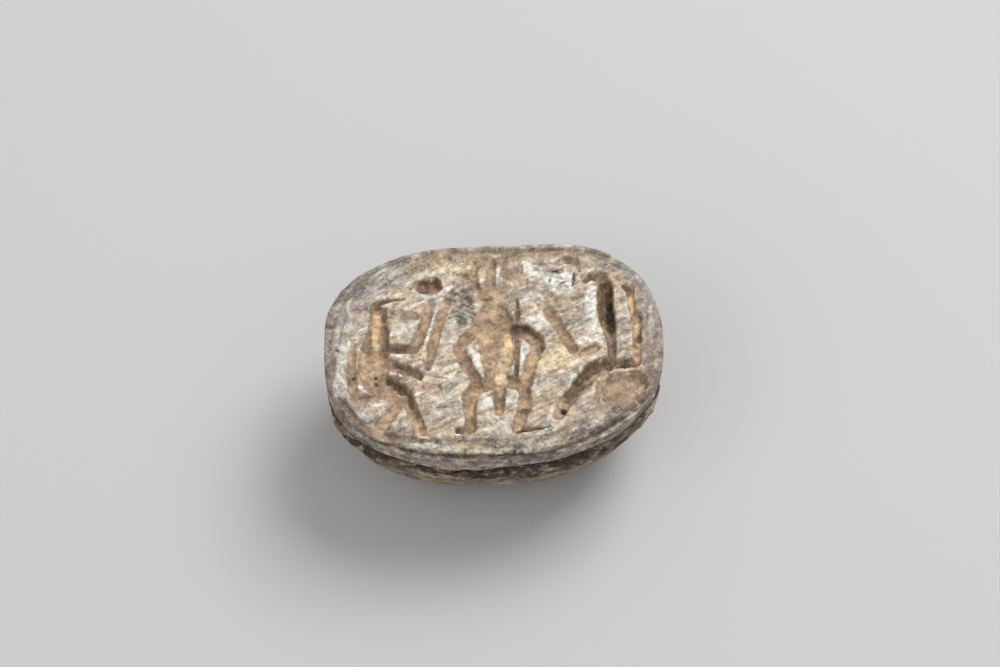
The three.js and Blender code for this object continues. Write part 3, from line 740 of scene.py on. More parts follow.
def thin_out(piece, most_triangles):
    """Leaves the given number of triangles, most of them on the engraved face."""
    height = places(piece.data)[:, 2]
    plainness = 1 - 0.5 * smoothstep(4.3, 4.9, height) - 0.4 * smoothstep(6.3, 6.8, height)
    plain = piece.vertex_groups.new(name="plain")
    steps = np.round(plainness * 50).astype(int)
    for step in np.unique(steps):
        plain.add(np.nonzero(steps == step)[0].tolist(), step / 50, "REPLACE")
    triangles = sum(len(face.vertices) - 2 for face in piece.data.polygons)
    apply_modifier(piece, "DECIMATE", ratio=min(1, most_triangles / triangles), vertex_group=plain.name,
                   vertex_group_factor=0.006)
    piece.vertex_groups.clear()


# --- Colouring ----------------------------------------------------------------------------------
# Stains and painted highlights on the raised face: x, y, half length, half width, turn in degrees, tone and
# strength.
RAISED_STAINS_AND_HIGHLIGHTS = (
    # the worn rim, from the left over the top to the right
    (-8.15, 0.9, 2.7, 0.6, 86, "ash", 0.6),
    (-8.08, -1.4, 1.6, 0.26, 92, "chalk", 0.75),
    (-8.3, 1.0, 1.2, 0.16, 80, "chalk", 0.6),
    (-8.25, -2.3, 0.5, 0.2, 95, "chalk", 0.7),
    (-7.6, 1.6, 0.7, 0.3, 70, "bone", 0.7),
    (-6.9, 3.4, 2.0, 0.7, 48, "lilac", 0.7),
    (-6.6, 4.4, 1.6, 0.35, 38, "ash", 0.7),
    (-5.5, 4.75, 1.0, 0.35, 40, "chalk", 0.5),
    (-3.4, 5.6, 1.6, 0.4, 10, "straw", 0.7),
    (-2.1, 5.15, 1.1, 0.38, 4, "butter", 0.75),
    (-1.9, 5.95, 1.6, 0.3, 2, "tan", 0.6),
    (0.3, 5.85, 1.9, 0.35, 0, "straw", 0.7),
    (3.4, 6.15, 2.8, 0.26, -2, "straw", 0.65),
    (1.9, 6.22, 2.6, 0.12, 1, "clay", 0.85),
    # painted highlight: a thin pale line along the far edge, as rim light from behind
    (1.5, 6.52, 3.2, 0.08, 1, "bone", 0.9),
    (4.6, 5.75, 1.6, 0.4, -8, "cream", 0.8),
    (5.96, 5.28, 0.28, 0.24, 0, "rust", 0.45),
    (7.4, 4.7, 0.9, 0.6, -45, "lilac", 0.5),
    (6.5, 4.75, 0.6, 0.2, -30, "straw", 0.7),
    (8.3, 1.8, 0.65, 2.8, 0, "lilac", 0.6),
    (8.4, 0.3, 0.3, 0.9, 0, "tan", 0.35),
    (6.95, 1.5, 0.33, 1.9, 0, "ash", 0.8),
    (6.95, 2.6, 0.2, 0.6, 0, "bone", 0.6),
    (8.54, -0.96, 0.12, 0.35, 0, "chalk", 1.0),
    (8.36, -1.5, 0.14, 0.3, 0, "slate", 0.8),
    (8.3, 0.4, 0.45, 2.4, 0, "clay", 0.4),
    (8.2, -2.1, 0.7, 0.28, -62, "ash", 0.8),
    (7.25, -3.5, 0.5, 0.2, 30, "slate", 0.6),
    (5.55, -4.9, 0.5, 0.16, 20, "slate", 0.7),
    (5.1, -4.55, 0.5, 0.1, 20, "chalk", 0.9),
    (1.1, -6.1, 0.07, 0.3, 0, "slate", 0.8),
    (0.1, -6.1, 0.06, 0.25, 0, "tan", 0.8),
    (-3.7, -5.85, 1.0, 0.17, 0, "chalk", 0.9),
    (-1.0, -6.05, 1.9, 0.22, 2, "butter", 0.75),
    (3.0, -5.75, 1.4, 0.22, 14, "butter", 0.6),
    (-1.3, -6.3, 0.5, 0.09, 0, "tan", 0.5),
    (-7.6, -4.2, 0.6, 0.2, -55, "umber", 0.55),
    (-6.6, -5.3, 0.9, 0.22, -25, "tan", 0.75),
    (-5.5, -5.75, 0.8, 0.14, -15, "umber", 0.55),
    (-5.2, -5.25, 0.5, 0.12, -10, "tan", 0.7),
    # left of the middle
    (-1.75, 3.1, 0.7, 1.5, 0, "ash", 0.9),
    (-1.65, 3.2, 0.55, 1.1, 15, "slate", 0.75),
    (-1.6, 1.9, 0.6, 0.4, 30, "slate", 0.85),
    (-1.5, 4.0, 0.16, 0.3, 0, "lilac", 0.8),
    (-0.92, 2.8, 0.24, 0.06, -20, "chalk", 1.0),
    (-3.55, 3.28, 0.75, 0.13, -3, "chalk", 1.0),
    (-4.25, 3.55, 0.32, 0.1, -50, "chalk", 0.9),
    (-2.65, 3.65, 0.5, 0.15, 40, "chalk", 1.0),
    (-5.0, 3.65, 0.45, 0.4, 0, "straw", 0.5),
    (-4.9, 1.25, 0.62, 0.5, 20, "bone", 0.85),
    (-4.6, 1.45, 0.5, 0.1, 25, "chalk", 0.5),
    # chalky lips below the arm and the leg: chipped stone, partly painted highlight where they face the key
    # light
    (-5.0, -0.4, 0.5, 0.1, -12, "chalk", 0.95),
    (-4.7, -0.85, 0.5, 0.1, -20, "chalk", 0.6),
    (-5.2, -1.5, 0.5, 0.1, -12, "chalk", 0.85),
    (-3.42, 1.2, 0.07, 1.7, -14, "chalk", 0.95),
    (-2.95, 2.7, 0.14, 0.4, -10, "bone", 0.8),
    (-6.75, -2.5, 0.5, 0.16, -32, "chalk", 1.0),
    (-6.75, -2.5, 0.4, 0.14, -32, "chalk", 0.8),
    (-6.4, -3.75, 0.9, 0.42, 25, "bone", 0.95),
    (-6.9, -4.1, 0.4, 0.12, -45, "chalk", 0.9),
    (-5.15, -4.95, 0.4, 0.22, -10, "ash", 0.85),
    (-5.2, -4.3, 0.24, 0.4, 0, "bone", 0.8),
    (-3.6, -5.4, 0.3, 0.08, 5, "chalk", 1.0),
    (-2.3, 1.0, 0.35, 0.8, -10, "bone", 0.7),
    (-2.4, -3.4, 0.9, 0.22, 28, "ash", 0.8),
    (-2.4, -3.45, 0.55, 0.1, 28, "slate", 0.6),
    (-3.4, -4.2, 0.7, 0.3, 28, "lilac", 0.6),
    (-2.7, -0.88, 0.55, 0.05, 24, "slate", 0.85),
    (-2.2, -1.3, 0.8, 0.4, 22, "butter", 0.4),
    (-2.7, -2.4, 1.25, 0.75, 8, "bone", 0.75),
    (-3.35, -2.42, 0.62, 0.36, -5, "tan", 0.75),
    (-2.95, -1.72, 0.5, 0.06, -8, "clay", 0.9),
    (-2.25, -2.35, 0.07, 0.4, -35, "clay", 0.9),
    (-1.95, -2.15, 0.2, 0.5, -38, "cream", 0.7),
    (-3.7, -2.35, 0.12, 0.1, 0, "umber", 0.7),
    (-2.8, -2.25, 0.12, 0.1, 0, "umber", 0.6),
    (-2.1, -2.4, 0.3, 0.6, -25, "bone", 0.8),
    (-3.5, 4.0, 0.72, 0.48, 10, "rust", 1.0),
    (-3.6, 4.32, 0.55, 0.14, 8, "umber", 0.7),
    (-3.3, 3.9, 0.3, 0.16, 8, "honey", 0.35),
    # the crown and round the middle figure
    (0.2, 4.5, 1.6, 1.1, 0, "tan", 0.5),
    (0.0, 3.45, 1.15, 0.5, 0, "tan", 0.7),
    (-0.64, 4.75, 0.16, 0.5, 0, "butter", 0.85),
    (0.22, 5.1, 0.1, 0.3, 0, "chalk", 0.9),
    (0.22, 4.65, 0.11, 0.14, 0, "chalk", 1.0),
    (0.17, 4.25, 0.11, 0.15, 0, "chalk", 1.0),
    (0.97, 5.1, 0.08, 0.14, 0, "chalk", 0.9),
    (0.97, 4.1, 0.07, 0.2, 0, "chalk", 0.9),
    (1.35, 4.3, 0.25, 0.6, 0, "straw", 0.6),
    (-0.6, 3.75, 0.2, 0.2, 0, "cream", 0.8),
    (0.1, 5.45, 0.8, 0.07, 2, "tan", 0.7),
    (-1.14, -0.45, 0.22, 1.0, 24, "chalk", 1.0),
    (1.6, -0.1, 0.24, 0.9, -12, "chalk", 0.9),
    (-0.5, -3.3, 0.4, 0.7, 0, "bone", 1.0),
    (-0.45, -3.1, 0.3, 0.4, 20, "chalk", 0.7),
    (0.92, -2.95, 0.32, 0.56, -10, "bone", 0.85),
    (0.9, -2.7, 0.22, 0.3, -10, "chalk", 0.5),
    (0.2, -4.75, 0.8, 0.5, 0, "bone", 0.6),
    (-0.4, -5.35, 1.6, 0.2, 0, "tan", 0.35),
    (2.6, -3.2, 0.9, 0.5, 10, "straw", 0.6),
    (2.8, -4.1, 0.5, 0.3, 10, "tan", 0.4),
    (2.3, 1.7, 0.42, 0.6, -20, "bone", 1.0),
    (2.3, 1.75, 0.4, 0.5, -25, "chalk", 0.9),
    (1.6, 2.03, 0.36, 0.09, -4, "chalk", 1.0),
    (1.62, 3.05, 0.3, 0.06, 20, "chalk", 1.0),
    (1.75, 2.55, 0.4, 0.3, 0, "straw", 0.6),
    # right of the middle, with the crater's crumpled rim
    (2.1, 5.02, 1.05, 0.3, -32, "chalk", 1.0),
    (2.5, 4.75, 0.7, 0.22, -40, "chalk", 0.9),
    (2.9, 4.35, 0.72, 0.22, -70, "chalk", 1.0),
    (3.5, 3.72, 0.5, 0.08, -10, "chalk", 0.9),
    (3.7, 4.36, 0.78, 0.75, 0, "chalk", 1.0),
    (3.7, 4.3, 0.6, 0.6, 0, "chalk", 0.8),
    (3.03, 4.55, 0.07, 0.36, -12, "slate", 0.85),
    (3.33, 4.97, 0.26, 0.07, 22, "soot", 0.9),
    (3.22, 4.45, 0.06, 0.3, 12, "ash", 0.9),
    (3.5, 4.22, 0.05, 0.24, 35, "soot", 0.85),
    (3.68, 4.36, 0.22, 0.05, 25, "soot", 0.85),
    (3.82, 4.12, 0.2, 0.05, -35, "soot", 0.85),
    (3.9, 4.5, 0.05, 0.2, 30, "slate", 0.85),
    (3.6, 4.62, 0.2, 0.04, -15, "slate", 0.7),
    (3.65, 3.74, 0.42, 0.04, 4, "slate", 0.7),
    (4.25, 4.42, 0.1, 0.44, -4, "soot", 1.0),
    (3.35, 4.93, 0.42, 0.07, 5, "soot", 0.8),
    (3.62, 5.02, 0.13, 0.08, 0, "soot", 0.8),
    (2.3, 3.9, 0.6, 0.5, 0, "ash", 0.6),
    (2.9, 5.4, 1.0, 0.08, 0, "slate", 0.6),
    (5.18, 3.0, 0.3, 1.2, 0, "chalk", 1.0),
    (5.5, 1.1, 0.24, 0.8, 15, "chalk", 1.0),
    (4.3, 2.4, 0.6, 1.1, 15, "ash", 0.55),
    (4.75, 0.6, 0.55, 0.22, 15, "chalk", 0.85),
    (5.35, -0.5, 0.4, 0.1, 15, "chalk", 0.9),
    (3.3, -0.6, 1.1, 0.7, 18, "butter", 0.8),
    (3.6, -1.2, 0.6, 0.12, 15, "tan", 0.7),
    # dark and chalky marks all along the rim
    (6.3, -3.75, 0.8, 0.2, 35, "slate", 0.6),
    (7.9, -2.9, 0.7, 0.25, 60, "slate", 0.6),
    (-7.3, 3.7, 0.9, 0.3, 50, "slate", 0.5),
    (-5.9, 4.2, 0.8, 0.3, 35, "slate", 0.5),
    (4.0, 5.95, 1.6, 0.16, 0, "ash", 0.6),
    (-8.0, -0.5, 1.0, 0.2, 90, "chalk", 0.9),
    (-8.1, -3.2, 0.5, 0.14, 110, "slate", 0.7),
    (-7.7, -3.95, 0.4, 0.12, 125, "soot", 0.6),
    (-8.35, -2.6, 0.4, 0.1, 100, "chalk", 0.8),
    (-0.3, -6.2, 0.9, 0.14, 2, "chalk", 0.85),
    (1.6, -6.15, 0.5, 0.14, 5, "chalk", 0.8),
    (2.7, -5.95, 0.6, 0.12, 12, "chalk", 0.85),
    (-2.2, -6.05, 0.45, 0.16, 0, "chalk", 0.85),
    (0.5, -6.25, 0.06, 0.2, 0, "slate", 0.9),
    (-1.5, -6.2, 0.05, 0.2, 0, "umber", 0.8),
    (2.05, -6.1, 0.05, 0.2, 0, "umber", 0.7),
    (5.4, -4.35, 0.35, 0.1, 20, "chalk", 0.95),
    (4.3, -4.85, 0.5, 0.08, 18, "chalk", 0.8),
    (6.9, -4.0, 0.9, 0.22, 32, "slate", 0.85),
    (7.7, -3.0, 0.8, 0.18, 55, "slate", 0.8),
    (-7.95, -2.3, 0.6, 0.2, 100, "chalk", 0.9),
    (-7.6, -2.95, 0.4, 0.14, 120, "chalk", 0.8),
    (-7.9, 2.6, 0.6, 0.12, 62, "chalk", 0.7),
    (-6.1, 4.9, 0.7, 0.1, 36, "chalk", 0.7),
    # painted highlight: a thin pale line along the right edge, as rim light
    (8.35, 1.6, 0.14, 1.2, 2, "chalk", 0.6),
    (5.9, 5.45, 1.0, 0.1, -28, "chalk", 0.5),
    # the crown's feathers, and the marks between the middle figure and the right ape
    (3.05, 3.1, 0.36, 0.36, -30, "tan", 0.8),
    (3.1, -3.1, 0.7, 0.32, -25, "straw", 0.9),
    (-0.22, 5.0, 0.17, 0.9, 0, "tan", 0.85),
    (0.62, 5.1, 0.2, 0.7, 0, "tan", 0.85),
    (1.3, 5.3, 0.14, 0.5, 0, "tan", 0.6),
    (-1.05, 4.9, 0.17, 0.6, 0, "clay", 0.7),
    (3.2, -1.95, 0.9, 0.4, 20, "ash", 0.75),
    (4.1, -2.05, 0.18, 0.5, -10, "chalk", 1.0),
    (4.9, -3.5, 0.7, 0.5, 30, "lilac", 0.6),
    (4.6, -2.9, 0.3, 0.12, 30, "bone", 0.8),
    (5.5, -3.85, 0.8, 0.3, 28, "tan", 0.7),
    (6.3, -4.3, 0.7, 0.16, 35, "umber", 0.5),
    (7.0, -2.4, 1.35, 1.1, 22, "tan", 0.95),
    (6.4, -1.36, 0.9, 0.09, 8, "butter", 1.0),
    (5.9, -1.7, 0.1, 0.35, -20, "butter", 0.9),
)
# Stains on the floors and walls of the sunk strokes, given in the same way; some are painted shade on walls
# that face away from the key light, and some painted highlight on floors and rolls that face it.
STROKE_STAINS_AND_PAINTED_LIGHT = (
    # the left ape
    # painted highlight: the golden left side of the torso, which faces the key light
    (-6.3, 1.0, 0.2, 1.0, -4, "honey", 0.8),
    (-6.25, 0.35, 0.18, 0.34, 0, "butter", 0.8),
    (-6.5, -1.2, 0.55, 0.9, 0, "honey", 0.3),
    (-6.9, -0.5, 0.2, 0.9, 0, "cream", 0.25),
    # painted shade with earth: olive on the torso's right wall, the head and the arms' upper walls
    (-5.74, 0.6, 0.2, 0.9, 0, "olive_earth_and_shade", 0.75),
    (-5.85, 2.1, 0.16, 0.32, 0, "olive_earth_and_shade", 0.85),
    (-6.05, 2.85, 0.42, 0.24, 25, "olive_earth_and_shade", 0.85),
    (-5.2, 3.14, 0.7, 0.12, 0, "olive_earth_and_shade", 0.6),
    (-5.8, 0.0, 0.3, 0.28, 0, "rust", 0.75),
    (-5.9, 1.3, 0.14, 0.4, 0, "rust", 0.5),
    (-6.6, 0.9, 0.12, 0.5, 0, "rust", 0.4),
    (-4.95, 0.1, 0.6, 0.24, -8, "olive_earth_and_shade", 0.65),
    (-5.0, 2.32, 0.8, 0.08, 0, "olive_earth_and_shade", 0.55),
    (-4.6, -1.05, 0.8, 0.12, -24, "olive_earth_and_shade", 0.6),
    # painted shade with earth along the thigh's upper wall
    (-5.1, -2.15, 0.8, 0.2, -36, "umber", 0.9),
    (-4.4, -2.95, 0.16, 0.5, 15, "umber", 0.8),
    (-4.0, -4.2, 0.1, 0.8, 20, "umber", 0.45),
    (-6.25, -1.62, 0.1, 0.1, 0, "umber", 0.9),
    (-6.22, -2.0, 0.13, 0.12, 0, "umber", 0.9),
    (-6.7, -2.0, 0.2, 0.08, 0, "umber", 0.5),
    (-7.88, -1.2, 0.16, 0.2, 0, "rust", 0.9),
    (-7.43, -1.75, 0.12, 0.12, 0, "umber", 0.95),
    # the middle figure
    # painted highlight on the torso's roll, where it faces the key light
    (0.62, 0.2, 0.36, 1.0, 8, "honey", 1.0),
    (0.4, -1.1, 0.3, 0.8, -16, "honey", 0.8),
    (0.45, -0.6, 0.2, 0.9, -10, "butter", 0.45),
    (0.28, -1.75, 0.42, 0.26, -10, "butter", 0.9),
    (-0.2, 0.9, 0.7, 1.6, 0, "tan", 0.85),
    (-0.35, 1.0, 0.3, 0.5, 0, "honey", 0.35),
    (-0.2, 2.4, 0.7, 0.4, 0, "honey", 0.3),
    # painted shade with earth down the torso's right wall, across the neck and along the right arm's upper
    # wall
    (1.22, 0.3, 0.16, 1.9, 0, "olive_earth_and_shade", 0.6),
    (1.3, 1.5, 0.5, 0.3, -10, "umber", 0.8),
    (0.75, 2.1, 0.12, 0.75, 26, "umber", 0.4),
    (1.26, 2.5, 0.14, 0.6, 0, "olive_earth_and_shade", 0.75),
    (2.0, 1.35, 0.85, 0.22, -38, "umber", 0.8),
    (2.6, 0.35, 0.16, 0.5, 10, "umber", 0.6),
    (2.1, 0.0, 0.2, 0.25, 0, "lilac", 0.5),
    (-0.45, 3.2, 0.3, 0.08, 10, "rust", 0.8),
    (-0.9, -2.0, 0.32, 0.2, -30, "rust", 0.75),
    (1.9, -2.45, 0.2, 0.16, 0, "rust", 0.9),
    (1.6, -3.7, 0.32, 0.2, 0, "umber", 0.75),
    (1.2, -4.5, 0.32, 0.45, 0, "honey", 0.5),
    (2.3, -4.82, 0.8, 0.1, 13, "umber", 1.0),
    (1.5, -4.95, 0.35, 0.14, 0, "umber", 0.9),
    (-1.85, -4.93, 0.24, 0.18, 0, "umber", 0.8),
    (-0.98, -4.0, 0.14, 0.8, 0, "rust", 0.65),
    (0.08, -3.6, 0.16, 0.14, 0, "umber", 0.8),
    (0.5, -3.2, 0.14, 0.7, 0, "umber", 0.5),
    (-0.97, 4.15, 0.3, 0.3, -20, "umber", 0.75),
    (0.02, 4.9, 0.07, 0.8, 0, "rust", 0.65),
    (0.55, 5.0, 0.16, 0.2, 0, "umber", 0.5),
    # the right ape
    # painted shade with earth in the deep torso, darkest on its right half
    (6.2, 2.5, 0.34, 1.5, -3, "olive_earth_and_shade", 1.0),
    (6.2, 2.65, 0.2, 0.7, 0, "soot", 0.95),
    (5.65, 3.0, 0.24, 1.4, -3, "umber", 0.6),
    (5.75, 2.6, 0.12, 1.0, -3, "rust", 0.7),
    (5.95, 4.2, 0.35, 0.5, 0, "umber", 0.8),
    (6.15, 0.4, 0.34, 1.1, 0, "ash", 0.7),
    (5.3, 4.6, 0.6, 0.34, 10, "umber", 0.7),
    (7.15, 3.85, 0.4, 0.3, -40, "clay", 0.7),
    (7.3, 2.9, 0.18, 0.7, -5, "honey", 0.9),
    (7.55, 1.3, 0.16, 0.4, 0, "honey", 0.7),
    (7.8, 2.0, 0.14, 0.24, 0, "umber", 0.7),
    (7.72, 0.8, 0.16, 0.3, 0, "umber", 0.8),
    (7.6, 0.0, 0.2, 0.6, 0, "honey", 0.3),
    (6.9, -0.92, 0.7, 0.24, 4, "umber", 0.95),
    (6.9, -0.98, 0.3, 0.1, 4, "soot", 0.9),
    (6.1, -0.6, 0.4, 0.45, 0, "umber", 0.5),
    # painted shade with earth along the front leg's upper wall
    (5.1, -1.1, 0.9, 0.34, 28, "olive_earth_and_shade", 0.85),
    (4.45, -2.1, 1.2, 0.34, 52, "olive_earth_and_shade", 0.75),
    (4.7, -1.9, 0.5, 0.5, 45, "umber", 0.65),
    (5.0, -1.7, 0.5, 0.12, 40, "honey", 0.4),
    (3.66, -3.72, 0.2, 0.22, 0, "soot", 0.7),
    (3.3, -3.1, 0.3, 0.3, 20, "honey", 0.6),
    (5.45, -2.5, 0.1, 0.6, 0, "clay", 0.7),
    (5.8, -2.7, 0.15, 0.4, 0, "umber", 0.7),
    (4.2, 5.45, 0.5, 0.4, -40, "umber", 0.75),
)


# Strokes deeper than this get the chalky lip, which is partly chipped stone and partly painted highlight.
LIP_STROKE_DEPTH = 0.2  # strokes deeper than this have kept a chalky lip
RIM_SHADE = 0.22
BROWN_SCOOP = (6.85, -2.35, 1.35, 0.98, 28)  # x, y, half length, half width and turn in degrees


def mix(first, second, share):
    """The first colours where the share is 0 and the second where it is 1."""
    return first + (second - first) * share[:, None]


def tones():
    """The sidebar's colours by name."""
    look = bpy.context.scene.stone_look
    return {name: np.array(getattr(look, name)) for name in StoneLook.__annotations__}


def stained(colour, points, stains, tone, share):
    """Lays each stain, or patch of painted light or shade, over the colour, with ragged rims and a mottled
    inside.
    """
    ragged = 0.45 * rough(points, 0.5, 101) + 0.16 * lumps(points, 0.12, 105)
    mottled = np.clip(0.95 + 0.5 * rough(points, 0.2, 109), 0, 1)
    hatches = rough(points @ GRAIN_TURN * np.array([0.3, 1, 1]), 0.13, 191)
    hatched = 0.3 + 0.7 * smoothstep(-0.1, 0.12, hatches)
    for x, y, half_length, half_width, turn, name, strength in stains:
        reach = from_patch(points, x, y, half_length, half_width, turn) + ragged
        texture = hatched if name in ("ash", "slate") else mottled
        cover = strength * texture * (1 - smoothstep(0.8, 1.2, reach))
        colour = mix(colour, tone[name], cover * share)
    return colour


def raised_colours(points, tone, share, edge, rim, clouds):
    """The raised face: pale slip, grey veins, the bare rim, and the stains and painted highlights upon it."""
    colour = mix(tone["cream"], tone["bone"], smoothstep(-0.25, 0.25, rough(points, 0.7, 97)))
    veins = veined(points, 0.45, 91) * 0.9 + clouds * 0.3
    colour = mix(colour, tone["ash"], 0.7 * smoothstep(0.15, 0.5, veins))
    colour = mix(colour, tone["straw"], 0.5 * smoothstep(0.2, 0.6, rough(points, 0.9, 99)))
    colour = mix(colour, tone["lilac"], 0.45 * rim)
    colour = mix(colour, tone["ash"], 0.85 * rim * smoothstep(-0.25, 0.3, rough(points, 0.5, 193)))
    smudge = np.exp(-((np.clip(edge, 0, None) / 0.3) ** 2)) * smoothstep(0.0, 0.4, rough(points, 0.6, 103))
    colour = mix(colour, tone["tan"], 0.6 * smudge * share)
    thin_veins = smoothstep(0.3, 0.5, veined(points, 0.16, 93))
    colour = mix(colour, tone["slate"], 0.5 * thin_veins * (edge > 0.05))
    return stained(colour, points, RAISED_STAINS_AND_HIGHLIGHTS, tone, share) * (1 - RIM_SHADE * rim)[:, None]


def chalky_lip_and_highlight(points):
    """How much chalky lip shows along the deeper strokes: a little chipped stone on every lip, and mostly a
    painted highlight where the lip faces the key light at the upper right.
    """
    deep = [(joints, full_depth) for joints, full_depth in figures() if full_depth > LIP_STROKE_DEPTH]
    shifted = points + np.array([0.07, 0.07, 0])
    _, near = cut_by(deep, points, stroke_wobble(points), 3)
    _, beyond = cut_by(deep, shifted, stroke_wobble(shifted), 3)
    # Painted highlight: lips that face the upper right, toward the key light, get most of the chalk.
    faces_light = smoothstep(0.01, 0.07, near - beyond)
    lip = np.exp(-((np.clip(near, 0, None) / 0.09) ** 2)) * smoothstep(-0.1, 0.3, rough(points, 0.7, 107))
    return np.clip(lip * (0.2 + 0.95 * faces_light), 0, 1)


def floor_colours(points, tone, share, edge):
    """The earth-brown floors of the sunk strokes, with painted olive shade along their walls."""
    floor = mix(tone["clay"], tone["tan"], smoothstep(-0.5, 0.1, rough(points, 0.5, 111)))
    floor = mix(floor, tone["honey"], 0.6 * smoothstep(0.0, 0.45, rough(points, 0.8, 113)))
    floor = mix(floor, tone["clay"] * 0.8, 0.6 * smoothstep(0.05, 0.4, rough(points, 1.0, 199)))
    floor = mix(floor, tone["umber"], 0.25 * smoothstep(0.15, 0.5, rough(points, 0.3, 117)))
    floor = stained(floor, points, STROKE_STAINS_AND_PAINTED_LIGHT, tone, share)
    # Painted shade: olive darkening just inside each stroke's edge, along its walls.
    wall = np.exp(-((np.clip(-edge, 0, None) / 0.1) ** 2)) * smoothstep(-0.3, 0.2, rough(points, 0.5, 183))
    return mix(floor, tone["olive_earth_and_shade"], 0.4 * wall)


def scoop_share(points):
    """1 in the large brown scoop at the right, fading out towards its upper side."""
    reach = from_patch(points, *BROWN_SCOOP) + 0.2 * rough(points, 0.5, 187)
    across = points[:, 0] + 0.8 * points[:, 1] + 0.8 * rough(points, 0.8, 201)
    return (1 - smoothstep(0.82, 1.0, reach)) * (1 - 0.75 * smoothstep(4.4, 5.6, across))


def face_colours(points, tone, share, cut, edge):
    """The whole engraved face, and how deep in a stroke or in the scoop each place is."""
    clouds = rough(points, 1.4, 95)
    _, _, inset = around(points)
    rim = 1 - smoothstep(0.5, 1.5, inset + 0.4 * clouds)
    colour = raised_colours(points, tone, share, edge, rim, clouds)
    # Chalky lips: chipped stone, and mostly painted highlight on the lips that face the key light.
    colour = mix(colour, tone["chalk"], chalky_lip_and_highlight(points) * share)

    groove, _ = cut_by(border_lines(), points, stroke_wobble(points), 3)
    filled = smoothstep(0.03, 0.14, groove + 0.04 * rough(points, 0.4, 119))
    colour = mix(colour, tone["clay"], 0.7 * filled * share)
    sunk = smoothstep(0.05, 0.2, cut + 0.04 * rough(points, 0.3, 115))
    inside = smoothstep(0.08, -0.1, edge + 0.05 * rough(points, 0.3, 197)) * sunk * share
    colour = mix(colour, floor_colours(points, tone, share, edge), inside)
    scoop = scoop_share(points)
    brown = mix(tone["tan"] * 0.95, tone["clay"], 0.9 * smoothstep(-0.2, 0.4, rough(points, 0.5, 189)))
    colour = mix(colour, brown, 0.9 * scoop * share)
    return colour, np.maximum(inside, 0.8 * scoop * share)


def plate_colours(points, tone, band, along, left):
    """The side of the plate, with a dark seam along its near half."""
    plate = mix(tone["lilac"], tone["ash"] * 0.9, smoothstep(-0.2, 0.3, rough(along, 0.35, 121)))
    plate = mix(plate, tone["bone"], 0.8 * smoothstep(0.05, 0.4, rough(points, 0.6, 123)))
    plate = mix(plate, tone["clay"], 0.6 * smoothstep(0.1, 0.4, rough(points, 0.9, 129) + 0.2 * left))
    plate = mix(plate, tone["slate"] * 0.6, 0.7 * smoothstep(0.2, 0.4, rough(along, 0.16, 127)))
    plate = mix(plate, tone["tan"], 0.5 * smoothstep(0.0, 0.4, rough(points, 0.5, 195)))
    seam = np.exp(-(((band - 0.42) / 0.08) ** 2)) * (points[:, 1] < -2)
    return mix(plate, tone["umber"] * 0.6, 0.9 * seam)


def ledge_colours(points, tone, band, along, left, size):
    """The ledge, darkened all over and most at the left with earth and painted shade, with pale edges along
    the legs and its own lower side.
    """
    # Less straw at the left leaves it dark umber there: earth and painted shade.
    straw = smoothstep(-0.05, 0.4, rough(points, 0.3, 131) - 0.3 * left)
    ledge = mix(tone["umber"], tone["straw"] * 0.6, straw)
    ledge = mix(ledge, tone["rust"] * 0.7, 0.8 * smoothstep(0.0, 0.4, rough(points, 0.8, 133) + 0.3 * left))
    ledge = mix(ledge, tone["soot"], 0.8 * smoothstep(0.08, 0.25, rough(along, 0.3, 137)))
    ledge = mix(ledge, tone["bone"] * 0.75, 0.85 * smoothstep(0.18, 0.28, rough(along, 0.2, 139)))
    legs = leg_relief(points, size)
    ledge = mix(ledge, tone["clay"], 0.7 * legs)
    edge_line = np.exp(-(((legs - 0.35) / 0.25) ** 2)) * (legs > 0)
    edge_line += smoothstep(size["ledge_depth"] - 0.1, size["ledge_depth"] + 0.1, band) * (1 - 0.7 * left)
    pale = 0.85 * np.clip(edge_line, 0, 1) * smoothstep(-0.05, 0.2, rough(along, 0.4, 135))
    # Painted shade with earth: the whole ledge darkened under the plate.
    return mix(ledge * 0.7, tone["cream"] * 0.85, pale)


def back_colours(points, tone, band, along, size):
    """The plain back, dirtier and more broken in colour just below the margin."""
    back = mix(tone["ash"] * 0.9, tone["straw"] * 0.65, smoothstep(-0.2, 0.4, rough(points, 1.5, 141)))
    back = mix(back, tone["bone"] * 0.8, 0.7 * smoothstep(0.1, 0.6, veined(points, 0.8, 143)))
    back = mix(back, tone["umber"] * 1.5, 0.7 * smoothstep(0.2, 0.6, rough(points, 0.9, 145)))
    below = 1 - smoothstep(size["margin_depth"] + 0.4, size["margin_depth"] + 1.3, band)
    back = mix(back, tone["umber"], 0.75 * below * smoothstep(0.0, 0.2, rough(along, 0.35, 203)))
    return mix(back, tone["cream"], 0.6 * below * smoothstep(0.12, 0.25, rough(along, 0.25, 205)))


def side_colours(points, tone, depth, inset, size):
    """The plate's side, the ledge and the back, one below the other, and the recess, darkened nearly to black
    with earth and painted shade.
    """
    along = points * ALONG_LAYERS
    band = depth + 0.12 * rough(along, 0.6, 125)
    left = smoothstep(-3.0, -6.0, points[:, 0])
    plate_end = size["plate_depth"] + plate_sag(points)
    plate = plate_colours(points, tone, band, along, left)
    ledge = ledge_colours(points, tone, band, along, left, size)
    back = back_colours(points, tone, band, along, size)
    colour = mix(plate, ledge, smoothstep(plate_end - 0.1, plate_end + 0.1, band))
    colour = mix(colour, back, smoothstep(size["margin_depth"], size["margin_depth"] + 0.5, band))
    # Painted shade with earth: the recess under the plate is darkened nearly to black.
    hollow = smoothstep(0.15, 0.4, inset) * smoothstep(plate_end - 0.05, plate_end + 0.1, depth)
    hollow *= 1 - smoothstep(size["ledge_depth"] - 0.3, size["ledge_depth"], depth)
    return mix(colour, tone["soot"] * 1.5, 0.95 * hollow)


